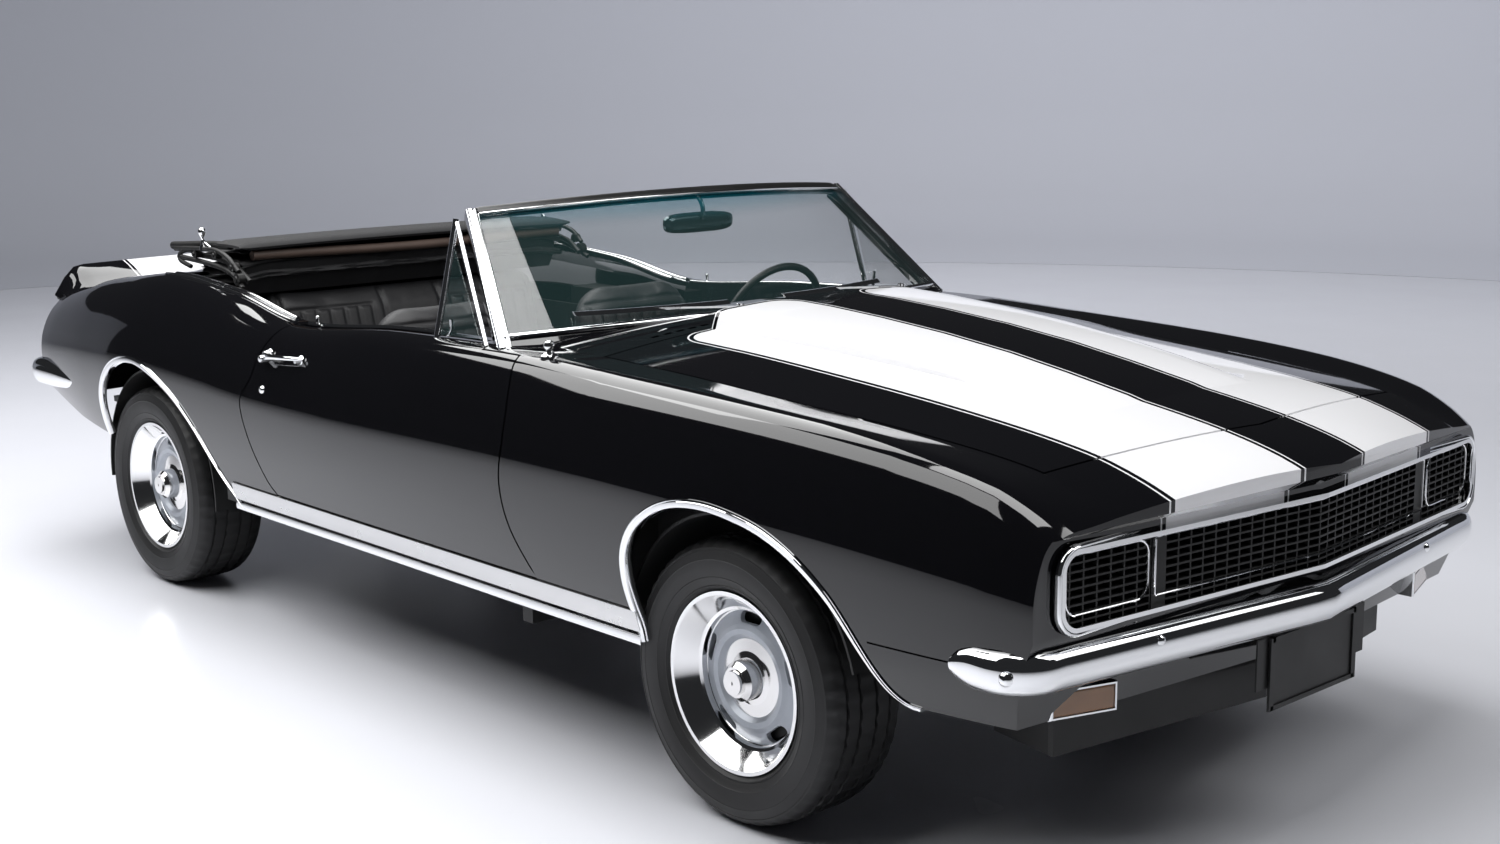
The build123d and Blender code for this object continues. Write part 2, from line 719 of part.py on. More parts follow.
def tail_lamps():
    """Two lenses on each side of the tail panel."""
    lamps = []
    for y_low, y_high in ((-640, -485 - lamp_gap / 2), (-485 + lamp_gap / 2, -330)):
        lamp = block(at(tail_s) - trim_rise, at(tail_s) + 60, y_low, y_high, 660, 760)
        lamps += both_sides(largest((lamp & PROUD) - SKIN))
    return lamps


def grille_surround():
    """The bright moulding round the nose opening and the finer one round the grille."""
    band = vee_slab(grille_s + 16, grille_slope, 16, 900, 0, 1000)
    outer = (opening_prism(0, 600, 1000) - opening_prism(-surround_width, 600, 1000)) & band
    return outer


def park_lamps():
    """The pair of oblong lamps on the front valance, under the ends of the bumper."""
    lamp = block(at(park_lamp_s) - 150, at(park_lamp_s) + 60, -park_lamp_y - park_lamp_width / 2,
                 -park_lamp_y + park_lamp_width / 2, park_lamp_z - park_lamp_height / 2,
                 park_lamp_z + park_lamp_height / 2)
    return both_sides(largest((lamp & PROUD) - SKIN))


def front_spoiler():
    """The black lip under the front valance, its ends turned back beside the wheels."""
    half, sheet, turn = spoiler_half, spoiler_sheet, 34
    lip = vee_slab(spoiler_s, nose_slope, sheet, half, spoiler_low, spoiler_top)
    lip += vee_slab(spoiler_s + 40, nose_slope, spoiler_flange, half, spoiler_top - 18, spoiler_top)
    corner = at(spoiler_s) - nose_slope * half
    for side in (-1, 1):
        y = side * half
        end = [(corner, y), (corner - spoiler_return, y - side * turn),
               (corner - spoiler_return, y - side * (turn + sheet)), (corner, y - side * sheet)]
        lip += plan_prism(end, spoiler_low, rocker_low)
    return largest(lip - SKIN)


def rod(start, end, width, height):
    """A straight bar of oblong section between two points."""
    run = end - start
    plane = Plane(start, x_dir=run.cross(Vector(0, 0, 1)), z_dir=run)
    return plane * Pos(0, 0, run.length / 2) * Box(width, height, run.length)


# Where each wiper has its pivot, and where its blade begins, across the car.
WIPERS = [(-175, -590), (430, 30)]
wiper_s, wiper_z, wiper_lift, blade_length = -700.0, 1010.0, 3.0, 430.0


def wipers():
    """The two wipers, parked along the foot of the windscreen: blade, arm and pivot."""
    strip = screen_slab(-wiper_lift - 6, -wiper_lift, 0, 0, 0)
    pieces = []
    for pivot_y, blade_y in WIPERS:
        blade = strip & block(at(-1000), at(-650), blade_y, blade_y + blade_length, wiper_z, wiper_z + 10)
        head = Vector(at(wiper_s), pivot_y, wiper_z)
        pivot = Pos(at(wiper_s), pivot_y, wiper_z - 40) * Cylinder(10, 96)
        arm = rod(head, blade.center(), 12, 5) - screen_slab(-wiper_lift, pillar_depth, 0, 0, 0)
        pieces.append(largest((blade + arm + pivot) - SKIN))
    return pieces


def door_handle():
    """The right-hand door's pull handle with its push button, and the lock under it."""
    reach = body_loft(-handle_reach, None)
    span = block(at(handle_rear_s), at(handle_front_s), -1000, -700, handle_z - 9, handle_z + 9)
    grip = span & (reach - PROUD)
    for s in (handle_rear_s, handle_front_s - 30):
        grip += block(at(s), at(s + 30), -1000, -700, handle_z - 12, handle_z + 12) & reach
    button = across(at(handle_rear_s + 44), handle_z, 12, -1000, -700) & PROUD
    lock = across(at(lock_s), lock_z, 15, -1000, -700) & body_loft(-5, None)
    return [largest((grip + button) - SKIN), largest(lock - SKIN)]


def fuel_cap():
    """The round filler cap in the middle of the tail panel."""
    cap = Pos(at(tail_s), 0, cap_z) * Rot(0, 90, 0) * Cylinder(cap_radius, 60)
    return largest((cap & PROUD) - SKIN)


iron_y = 672.0
IRON = [(-2950, 1078), (-2880, 1050), (-2640, 1040), (-2520, 1000), (-2470, 955), (-2400, 945),
        (-2370, 985), (-2400, 1030), (-2600, 1088)]


def top_irons():
    """The side irons of the folded top: the stacked rail, its pivot, its leg and the latch pin."""
    rail = side_prism([(at(s), z) for s, z in IRON], -iron_y, -iron_y + 14)
    rail += across(at(-2412), 985, 34, -iron_y - 10, -iron_y + 20)
    rail += block(at(-2434), at(-2400), -iron_y, -iron_y + 12, 860 + seat_clearance, 985)
    rail += Pos(at(-2700), -iron_y + 7, 1098) * Cylinder(6, 60)
    rail += Pos(at(-2700), -iron_y + 7, 1122) * Sphere(10)
    return both_sides(rail)


def pipe(s_front, s_rear, y, z):
    """An exhaust pipe along the car."""
    middle = Pos((at(s_front) + at(s_rear)) / 2, y, z)
    return middle * Rot(0, 90, 0) * Cylinder(pipe_radius, s_front - s_rear)


def exhaust():
    """The exhaust: two pipes, the silencer across the car behind the axle, two tail pipes."""
    pipes = across(at(exhaust_s), exhaust_z, 80, -380, 380)
    for side in (-1, 1):
        pipes += pipe(-560, exhaust_s, side * 200, 245)
        pipes += pipe(exhaust_s, -3730, side * 350, exhaust_z - 30)
        y = side * 250
        pipes += block(at(exhaust_s) - 20, at(exhaust_s) + 20, y - 4, y + 4, exhaust_z, boot_floor_z - 20)
    return pipes


def fuel_tank():
    """The fuel tank, strapped under the boot floor."""
    tank = block(at(-3560), at(-3170), -300, 300, 290, boot_floor_z - 20)
    return fillet(tank.edges().filter_by(Axis.Z), 40)


def interior_mirror():
    """The inside mirror, hung from the header."""
    glass = Pos(at(-1062), 0, 1196) * Rot(0, -8, 0) * Box(22, 250, 58)
    stem = block(at(-1075), at(-1058), -8, 8, 1200, 1320)
    return largest((glass + stem) - screen_slab(-100, pillar_depth + seat_clearance, 0, 0, 0))


def side_trim():
    """The inner trim beside the rear seat, over the wheelhouses."""
    panel = block(at(-2440), at(-2000), -700, -590, boot_floor_z + 40, 860)
    return both_sides(largest((panel - door_prism(shut_gap, door_inner_y - 30)) & CORE))


# ---------------------------------------------------------------- structure under the skin
def tunnel_bar(radius):
    """A bar along the floor for the gearbox tunnel and its bore."""
    return Pos(at(tunnel_s), 0, floor_z) * Rot(0, 90, 0) * Cylinder(radius, tunnel_length)


def floor_pan():
    """Floor, tunnel, firewall, rear step, boot floor and the bulkhead ahead of the boot."""
    under, half, wall = boot_floor_z - boot_sheet, floor_half, at(firewall_s - firewall_sheet)
    pan = block(at(kick_up_s), at(firewall_s), -half, half, floor_z, floor_z + floor_sheet)
    pan += block(wall, at(firewall_s), -half, half, floor_z, firewall_top)
    pan += block(at(kick_up_s) - floor_sheet, at(kick_up_s), -half, half, floor_z, boot_floor_z)
    pan += block(at(boot_rear_s), at(kick_up_s), -boot_half, boot_half, under, boot_floor_z)
    pan += block(at(bulkhead_s), at(bulkhead_s + boot_sheet), -boot_half, boot_half, under, bulkhead_top)
    pan += tunnel_bar(150) & block(at(kick_up_s), at(firewall_s), -200, 200, floor_z, 600)
    return pan - (tunnel_bar(132) & block(at(-2250), at(firewall_s + 50), -200, 200, 0, 600))


def frame_side():
    """Rails, sill, wheelhouse wall, jack pads, engine bay apron and door post of the right side."""
    under, half, wall = boot_floor_z - boot_sheet, rail_width / 2, at(firewall_s - firewall_sheet)
    low, top, rear_y = rail_z - rail_height / 2, rail_z + rail_height / 2, -rear_rail_y
    side = block(at(firewall_s), at(rail_front_s), -rail_y - half, -rail_y + half, low, top)
    side += block(at(boot_rear_s), at(kick_up_s), rear_y - half, rear_y + half, rear_rail_z, under)
    side += block(at(-2250), at(-640), -sill_y - 40, -sill_y + 40, rocker_low + 10, door_bottom - 20)
    side += block(at(-3250), at(kick_up_s), -boot_half, -boot_half + wall_sheet, under, 800)
    side += block(at(firewall_s), at(640), -rail_y - half, -rail_y - half + wall_sheet, 400, 790)
    side += block(wall, at(firewall_s + 20), -880, 30 - door_inner_y, floor_z, 900)
    for s in JACK_PADS:
        side += block(at(s) - 35, at(s) + 35, -jack_y - 25, -jack_y + 25, jack_z, jack_z + 42)
    return side


def underbody():
    """The floor pan, both frame sides and the wall that holds the radiator, in one."""
    whole = floor_pan()
    for side in both_sides(frame_side()):
        whole += side
    wall = block(at(640), at(660), -620, 620, 380, 820) - block(at(600), at(700), -330, 330, 430, 780)
    rubber = block(at(645), at(655), -580, -540, 700, 900) & CORE.moved(Location((0, 0, -seat_clearance)))
    whole += wall + rubber + rubber.mirror(Plane.XZ)
    for hole in both_sides(door_prism(shut_gap, door_inner_y - shut_gap)):
        whole -= hole
    for z in HINGE_LEAVES:
        leaf = block(at(-770), at(firewall_s), -860, -door_inner_y - 5, z, z + 60)
        whole += leaf + leaf.mirror(Plane.XZ)
    for hole in both_sides(door_prism(seat_clearance - shut_gap / 2, door_inner_y - shut_gap)):
        whole -= hole
    return largest(whole & CORE)


def engine():
    """The V8 as one plain block: crankcase, two banks of heads, air cleaner and gearbox."""
    profile = [(-130, 290), (130, 290), (160, 420), (290, 600), (230, 700), (110, 640), (-110, 640),
               (-230, 700), (-290, 600), (-160, 420)]
    wire = Wire.make_polygon([Vector(at(-520), y, z) for y, z in profile])
    vee = extrude(Face(wire), amount=640, dir=(1, 0, 0))
    cleaner = Pos(at(-230), 0, 770) * Cylinder(180, 90)
    neck = Pos(at(-230), 0, 680) * Cylinder(60, 100)
    gearbox = Pos(at(-900), 0, 300) * Rot(0, 90, 0) * Cylinder(105, 780)
    sump = block(at(-520), at(-100), -130, 130, 200, 300)
    motor = vee + cleaner + neck + gearbox + sump
    for side in (-1, 1):
        motor += block(at(-50), at(50), side * 115 - 25, side * 115 + 25, member_top, 300)
    return motor


def radiator():
    """The radiator, standing in the front wall of the engine bay."""
    return block(at(615), at(665), -329.7, 329.7, 430.3, 779.7)


def front_suspension():
    """The front crossmember, its upper and lower arms, one pair for each wheel."""
    member = block(at(-70), at(70), -rail_y, rail_y, 185, rail_z - rail_height / 2)
    member -= block(at(-80), at(80), -rail_y + 40, rail_y - 40, member_top, 400)
    arms = []
    ball, reach = kingpin_y - 26, kingpin_y + 20
    for side in (-1, 1):
        for z, foot, spread in ((arm_low_z, 340, 130), (arm_high_z, rail_y + rail_width / 2, 90)):
            outline = [(-spread, foot), (spread, foot), (26, ball), (20, reach), (-20, reach), (-26, ball)]
            points = [(at(s), side * y) for s, y in outline]
            arms.append(plan_prism(points, z - arm_sheet / 2, z + arm_sheet / 2))
    return member, *arms


def leaf_spring(side):
    """One leaf spring, hung under its rail and clamped to the axle, seen from the side as an arc."""
    y, eye_z, seat_z = side * rear_rail_y, rear_rail_z - 8, tyre_radius - 46
    wires = []
    reach = leaf_length / 2
    front, rear = Vector(rear_axle_x + reach, y - 30, eye_z), Vector(rear_axle_x - reach, y - 30, eye_z)
    middle, drop = Vector(rear_axle_x, y - 30, seat_z), Vector(0, 0, -leaf_thickness)
    top = Edge.make_three_point_arc(front, middle, rear)
    low = Edge.make_three_point_arc(rear + drop, middle + drop, front + drop)
    ends = [Edge.make_line(rear, rear + drop), Edge.make_line(front + drop, front)]
    leaf = extrude(Face(Wire([top, ends[0], low, ends[1]])), amount=60, dir=(0, 1, 0))
    for x in (front.X, rear.X):
        leaf += block(x - 30, x + 30, y - 30, y + 30, eye_z - 12, rear_rail_z)
    return leaf + block(rear_axle_x - 60, rear_axle_x + 60, y - 36, y + 36, seat_z - 14, tyre_radius)


def rear_axle():
    """The rear axle: differential, tubes and stub ends, on two leaf springs."""
    stub = wheel_centre_y + 46
    beam = across(rear_axle_x, tyre_radius, 38, -wheel_centre_y + 70, wheel_centre_y - 70)
    pin = across(rear_axle_x, tyre_radius, wheel_bore - bearing_clearance, -stub, stub)
    ball = Pos(rear_axle_x, 0, tyre_radius) * Sphere(130)
    return beam + pin + ball + leaf_spring(-1) + leaf_spring(1)


def knuckle():
    """The right-hand front knuckle: upright between the arms, brake drum and stub axle."""
    y = kingpin_y
    low = arm_low_z + arm_sheet / 2 + seat_clearance
    high = arm_high_z - arm_sheet / 2 - seat_clearance
    upright = Pos(front_axle_x, -y, (low + high) / 2) * Cylinder(22, high - low)
    drum = across(front_axle_x, tyre_radius, drum_radius, -y - drum_offset - drum_width, -y - drum_offset)
    pin = across(front_axle_x, tyre_radius, wheel_bore - bearing_clearance, -wheel_centre_y - 46, -y)
    return upright + drum + pin


# ---------------------------------------------------------------- wheels
def rim(axle_x):
    """A right-hand steel wheel: barrel, deep trim ring, slotted disc and stepped hub cap."""
    lip, edge, inner = rim_radius + rim_lip, rim_width / 2, rim_barrel
    outline = [(inner, -edge), (lip, -edge), (lip, -edge + rim_wall), (rim_radius, -edge + 14),
               (rim_radius, edge - 14), (lip, edge - rim_wall), (lip, edge), (lip - 9, edge),
               (160, 52), (153, 48), (151, 34), (146, 35), (120, 46), (110, 52), (98, 50), (88, 40),
               (60, 44), (47, 48), (44, 78), (34, 88), (28, 88), (27, 97), (0, 98), (0, 50), (wheel_bore, 50),
               (wheel_bore, 24), (88, 26), (112, 38), (146, 22), (inner, 10)]
    wire = Wire.make_polygon([Vector(axle_x, -wheel_centre_y - a, tyre_radius + r) for r, a in outline])
    axis = Axis((axle_x, -wheel_centre_y, tyre_radius), (0, 1, 0))
    wheel = revolve(Face(wire), axis, 360)
    slot = Pos(0, slot_radius, 0) * SlotOverall(slot_length, slot_height)
    for step in range(slot_count):
        plane = Plane((axle_x, -wheel_centre_y, tyre_radius), x_dir=(1, 0, 0), z_dir=(0, -1, 0))
        wheel -= extrude(plane * Rot(0, 0, 360 * step / slot_count) * slot, amount=edge)
    return wheel


def tyre(axle_x):
    """A right-hand tyre as one ring with rounded shoulders."""
    bead, half, shoulder = rim_radius + seat_clearance, tyre_width / 2, tyre_shoulder
    lip, tread_half = rim_radius + rim_lip + 3, tyre_width / 2 - 14
    outline = [(bead, -rim_width / 2 + 15), (bead, rim_width / 2 - 15), (lip, rim_width / 2 - 5),
               (lip + 14, half - 8), (lip + 44, half), (tyre_radius - shoulder, half - 3),
               (tyre_radius - 10, tread_half), (tyre_radius, tread_half - 16)]
    outline += [(r, -a) for r, a in reversed(outline[2:])]
    wire = Wire.make_polygon([Vector(axle_x, -wheel_centre_y - a, tyre_radius + r) for r, a in outline])
    axis = Axis((axle_x, -wheel_centre_y, tyre_radius), (0, 1, 0))
    return revolve(Face(wire), axis, 360)


# ---------------------------------------------------------------- cabin
def dashboard():
    """The instrument panel under the windscreen, between the doors."""
    rear = firewall_s - firewall_sheet
    profile = [(rear, 900), (-1010, 925), (-1052, 905), (-1030, 760), (-985, 690), (-930, 680), (rear, 760)]
    panel = side_prism([(at(s), z) for s, z in profile], -690, 690)
    return panel - column_bar(column_radius + seat_clearance, 0, 500)


def front_seats():
    """Two bucket seats on their runners."""
    cushion = Pos(at(-1500), -seat_y, 465) * Rot(0, -4, 0) * Box(500, seat_width, 130)
    cushion = fillet(cushion.edges(), 38)
    back = Pos(at(-1790), -seat_y, 715) * Rot(0, -14, 0) * Box(105, seat_width - 10, 500)
    back = fillet(back.edges(), 36)
    runners = [block(at(-1680), at(-1320), -y - 20, -y + 20, floor_z + floor_sheet, 401)
               for y in (seat_y - 150, seat_y + 150)]
    seat = [cushion, back, *runners]
    return seat + [piece.mirror(Plane.XZ) for piece in seat]


def rear_seat():
    """The rear bench and its upright back."""
    seat = Pos(at(-2330), 0, 535.3) * Box(420, 1100, 130)
    seat = fillet(seat.edges(), 32)
    back = Pos(at(-2570), 0, 735) * Rot(0, -14, 0) * Box(100, 1100, 400)
    back = fillet(back.edges(), 32)
    return seat, back


# Station, half-width and height of the folded top's cross-sections.
FOLDED_TOP = [(-2800, 590, 1030), (-2700, 640, 1085), (-2570, 640, 1092), (-2480, 600, 1040)]


def folded_top():
    """The folded fabric top lying in its well behind the rear seat."""
    low, shoulder = bulkhead_top + seat_clearance, 30
    wires = []
    for s, half, top in FOLDED_TOP:
        points = [(half, low), (half, top - shoulder), (half - 2 * shoulder, top)]
        points += [(-y, z) for y, z in reversed(points)]
        wires.append(Wire.make_polygon([Vector(at(s), y, z) for y, z in points]))
    return Solid.make_loft(wires, ruled=True)


def steering_column():
    """The steering column from the dashboard to the wheel's hub."""
    return column_bar(column_radius, 40, 330)


column_tilt, column_radius = 21.0, 18.0
WHEEL_HUB = (-1175, 370, 863)


def column_bar(radius, start, end):
    """A round bar along the steering axis, between two distances ahead of the wheel's hub."""
    tilt = radians(column_tilt)
    direction = Vector(cos(tilt), 0, -sin(tilt))
    origin = Vector(at(WHEEL_HUB[0]), WHEEL_HUB[1], WHEEL_HUB[2]) + direction * start
    return Solid.make_cylinder(radius, end - start, Plane(origin, z_dir=direction))


def steering_wheel():
    """The steering wheel: rim, three spokes and hub."""
    tilt = radians(column_tilt)
    direction = Vector(cos(tilt), 0, -sin(tilt))
    plane = Plane(Vector(at(WHEEL_HUB[0]), WHEEL_HUB[1], WHEEL_HUB[2]), x_dir=(0, 1, 0), z_dir=direction)
    ring = plane * Torus(190, 11)
    hub = plane * Pos(0, 0, 18) * Cylinder(38, 42)
    spoke = plane * Pos(0, 0, 6) * Box(378, 26, 8)
    return ring + hub + spoke


SUB_PARTS = {
    "underbody": underbody, "front_fenders": front_fenders, "quarter_panels": quarter_panels,
    "rocker_panels": rocker_panels, "cowl_panel": cowl_panel, "nose_panel": nose_panel,
    "front_valance": front_valance, "tail_panel": tail_panel, "grille": grille,
    "headlamp_covers": headlamp_covers, "front_bumper": front_bumper, "rear_bumper": rear_bumper,
    "tail_lamps": tail_lamps, "windscreen_frame": windscreen_frame, "windscreen_glass": windscreen_glass,
    "dashboard": dashboard, "front_seats": front_seats, "rear_seat": rear_seat, "folded_top": folded_top,
    "engine": engine, "radiator": radiator, "front_suspension": front_suspension, "rear_axle": rear_axle,
    "steering_column": steering_column, "steering_wheel": steering_wheel, "hood": hood,
    "trunk_lid": trunk_lid, "rear_spoiler": rear_spoiler, "grille_surround": grille_surround,
    "park_lamps": park_lamps, "front_spoiler": front_spoiler, "exhaust": exhaust, "fuel_tank": fuel_tank,
    "interior_mirror": interior_mirror, "side_trim": side_trim, "wipers": wipers, "fuel_cap": fuel_cap,
    "top_irons": top_irons,
}
SIDED_PARTS = {
    "door": door, "door_handle": door_handle, "vent_frame": vent_frame, "vent_glass": vent_glass,
    "knuckle_front": knuckle,
}


def listed(made):
    """A sub-part's solids as a list, whether its function gives one or several."""
    return list(made) if isinstance(made, (list, tuple)) else [made]


def save_all():
    """Write every sub-part."""
    for name, make in SUB_PARTS.items():
        save(name, *listed(make()))
    for name, make in SIDED_PARTS.items():
        pieces = listed(make())
        save(f"{name}_right", *pieces)
        save(f"{name}_left", *(piece.mirror(Plane.XZ) for piece in pieces))
    for place, axle_x in (("front", front_axle_x), ("rear", rear_axle_x)):
        for kind, make in (("rim", rim), ("tyre", tyre)):
            for side, piece in zip(("right", "left"), both_sides(make(axle_x))):
                save(f"{kind}_{place}_{side}", piece)


save_all()
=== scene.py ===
"""Dresses the open two-door muscle car: smooth painted panels, bright trim, wheels and cabin."""
import json
import logging
import math
from dataclasses import dataclass, field
from enum import Enum
from typing import Callable, Iterable, Optional, Sequence

import bmesh
import bpy
import numpy as np
from mathutils import Matrix, Vector

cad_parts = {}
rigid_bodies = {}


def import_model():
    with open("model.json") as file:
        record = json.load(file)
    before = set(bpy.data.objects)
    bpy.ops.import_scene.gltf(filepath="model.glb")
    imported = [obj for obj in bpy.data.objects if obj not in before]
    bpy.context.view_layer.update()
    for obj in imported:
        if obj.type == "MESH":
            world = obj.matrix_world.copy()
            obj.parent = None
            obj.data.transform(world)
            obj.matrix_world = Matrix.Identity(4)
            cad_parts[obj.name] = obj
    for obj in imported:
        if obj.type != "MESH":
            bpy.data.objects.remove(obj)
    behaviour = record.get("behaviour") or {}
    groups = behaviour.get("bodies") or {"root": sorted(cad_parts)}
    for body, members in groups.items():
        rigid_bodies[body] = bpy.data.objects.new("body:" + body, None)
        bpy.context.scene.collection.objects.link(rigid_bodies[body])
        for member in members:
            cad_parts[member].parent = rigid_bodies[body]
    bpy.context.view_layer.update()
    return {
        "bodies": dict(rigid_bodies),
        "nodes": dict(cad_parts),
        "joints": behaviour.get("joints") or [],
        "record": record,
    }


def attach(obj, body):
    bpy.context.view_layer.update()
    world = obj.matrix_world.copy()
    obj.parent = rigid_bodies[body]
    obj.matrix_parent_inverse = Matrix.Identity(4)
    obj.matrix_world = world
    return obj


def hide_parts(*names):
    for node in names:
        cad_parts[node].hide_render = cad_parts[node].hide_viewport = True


LOG = logging.getLogger("muscle_car")
# Metres: the middles of the wheels, half a shut gap, and the size of the screen along its own surface.
# A station, s, is a distance ahead of the front axle.
AXLE_X = 1.415
REAR_AXLE_X = -1.331
WHEEL_Y = 0.748
WHEEL_Z = 0.318
HALF_GAP = 0.003
SCREEN_HALF = 0.80
SCREEN_TALL = 0.487

Point = tuple[float, float]
Profile = Sequence[Point]
Colour = tuple[float, float, float, float]
Place = Sequence[float]
Form = bmesh.types.BMesh
Material = bpy.types.Material


class Side(Enum):
    """The two sides of the car, with the sign of their Y."""

    RIGHT = -1
    LEFT = 1

    @property
    def label(self) -> str:
        """The side's name in lower case."""
        return self.name.lower()


class Cut(Enum):
    """What a cutter does to a solid."""

    KEEP = "INTERSECT"
    REMOVE = "DIFFERENCE"
    ADD = "UNION"


# ------------------------------------------------------------------ shader maths
class Value:
    """A socket that takes part in sums, so that patterns read as formulas."""

    def __init__(self, tree: "Shader", socket: bpy.types.NodeSocket) -> None:
        """Keep the socket and the tree it belongs to."""
        self.tree = tree
        self.socket = socket

    def _with(self, operation: str, other: "float | Value", swap: bool = False) -> "Value":
        """Join this value and another by a Math node."""
        pair = (other, self) if swap else (self, other)
        return self.tree.maths(operation, *pair)

    def __add__(self, other: "float | Value") -> "Value":
        """Sum."""
        return self._with("ADD", other)

    def __sub__(self, other: "float | Value") -> "Value":
        """Difference."""
        return self._with("SUBTRACT", other)

    def __rsub__(self, other: float) -> "Value":
        """Difference from a number."""
        return self._with("SUBTRACT", other, True)

    def __mul__(self, other: "float | Value") -> "Value":
        """Product."""
        return self._with("MULTIPLY", other)

    def __gt__(self, other: "float | Value") -> "Value":
        """One where this is the greater, otherwise nought."""
        return self._with("GREATER_THAN", other)

    def __lt__(self, other: "float | Value") -> "Value":
        """One where this is the smaller, otherwise nought."""
        return self._with("LESS_THAN", other)

    def __abs__(self) -> "Value":
        """Size without sign."""
        return self.tree.maths("ABSOLUTE", self)

    __radd__ = __add__
    __rmul__ = __mul__


class Shader:
    """The node tree of one material."""

    def __init__(self, name: str) -> None:
        """Make an empty material with its output.

        Args:
            name: The material's name.
        """
        self.material = bpy.data.materials.new(name)
        self.material.use_nodes = True
        self.nodes = self.material.node_tree.nodes
        self.links = self.material.node_tree.links
        self.nodes.clear()
        self.output = self.nodes.new("ShaderNodeOutputMaterial")

    def node(self, kind: str, settings: Optional[dict] = None, **sockets: object) -> bpy.types.Node:
        """Add a node.

        Args:
            kind: The node's type, without its Shader prefix.
            settings: The node's own properties, set first.
            sockets: A value or link for each input, by its name with underscores, or by its index as _0.

        Returns:
            The new node.
        """
        made = self.nodes.new(f"ShaderNode{kind}")
        for key, value in (settings or {}).items():
            setattr(made, key, value)
        for key, value in sockets.items():
            index = key[1:] if key.startswith("_") else None
            socket = made.inputs[int(index)] if index else made.inputs[key.replace("_", " ")]
            self.feed(socket, value)
        return made

    def feed(self, socket: bpy.types.NodeSocket, value: object) -> None:
        """Give a socket a value or a link."""
        if isinstance(value, Value):
            self.links.new(value.socket, socket)
        elif isinstance(value, bpy.types.NodeSocket):
            self.links.new(value, socket)
        else:
            socket.default_value = value

    def maths(self, operation: str, *values: object) -> Value:
        """Add a Math node.

        Args:
            operation: The node's operation.
            values: Its inputs in order.

        Returns:
            Its result.
        """
        made = self.node("Math", {"operation": operation}, **{f"_{i}": v for i, v in enumerate(values)})
        return Value(self, made.outputs[0])

    def place(self) -> tuple[Value, Value, Value]:
        """X, Y and Z of the object's own coordinates."""
        split = self.node("SeparateXYZ", Vector=self.node("TexCoord").outputs["Object"])
        return tuple(Value(self, out) for out in split.outputs)

    def noise(self, scale: float, detail: float = 3.0, stretch: Place = (1, 1, 1)) -> Value:
        """Noise on the object's coordinates.

        Args:
            scale: Waves per metre.
            detail: Octaves.
            stretch: Scale along X, Y and Z.

        Returns:
            The noise, about one half in the middle.
        """
        spread = self.node("Mapping", None, Vector=self.node("TexCoord").outputs["Object"], Scale=stretch)
        made = self.node("TexNoise", None, Vector=spread.outputs[0], Scale=scale, Detail=detail)
        return Value(self, made.outputs[0])

    def blend(self, factor: object, low: object, high: object) -> bpy.types.NodeSocket:
        """Mix two colours."""
        made = self.node("Mix", {"data_type": "RGBA"}, _0=factor, _6=low, _7=high)
        return made.outputs[2]

    def fade(self, value: Value, low: float, high: float) -> Value:
        """Nought up to one measure and one from another, rising smoothly between them."""
        made = self.node("MapRange", {"interpolation_type": "SMOOTHSTEP"}, Value=value, From_Min=low,
                         From_Max=high)
        return Value(self, made.outputs[0])

    def bump(self, height: Value, strength: float, distance: float) -> bpy.types.NodeSocket:
        """A normal disturbed by a height."""
        return self.node("Bump", None, Height=height, Strength=strength, Distance=distance).outputs[0]

    def surface(self, **sockets: object) -> bpy.types.Node:
        """Add the main surface shader and join it to the output."""
        made = self.node("BsdfPrincipled", None, **sockets)
        self.links.new(made.outputs[0], self.output.inputs[0])
        return made


def grey(value: float, warm: float = 0.0) -> Colour:
    """A grey, slightly warm or cold."""
    return (value * (1 + warm), value, value * (1 - warm), 1.0)


def scaled(colour: Colour, factor: float) -> Colour:
    """A colour made lighter or darker."""
    return tuple(min(1.0, part * factor) for part in colour[:3]) + (1.0,)


# ------------------------------------------------------------------ finishes
@dataclass(frozen=True)
class Look:
    """A material with a name, which each kind of finish lays on in its own way."""

    name: str

    def make(self) -> Material:
        """Build the material."""
        shader = Shader(self.name)
        self.dress(shader)
        return shader.material

    def dress(self, shader: Shader) -> None:
        """Lay the finish on a shader."""
        raise NotImplementedError


@dataclass(frozen=True)
class Finish(Look):
    """A plain finish with fine unevenness."""

    colour: Colour
    roughness: float = 0.5
    metallic: float = 0.0
    coat: float = 0.0
    grain: float = 400.0
    depth: float = 0.0001
    unevenness: float = 0.15

    def dress(self, shader: Shader) -> None:
        """Lay the finish on a shader."""
        blotch = shader.noise(9.0, 4.0)
        fine = shader.noise(self.grain, 2.0)
        dark, light = scaled(self.colour, 1 - self.unevenness), scaled(self.colour, 1 + self.unevenness)
        shader.surface(
            Base_Color=shader.blend(blotch, dark, light),
            Roughness=self.roughness * (0.8 + 0.4 * blotch),
            Metallic=self.metallic,
            Coat_Weight=self.coat,
            Coat_Roughness=0.03,
            Normal=shader.bump(fine, 0.5, self.depth),
        )


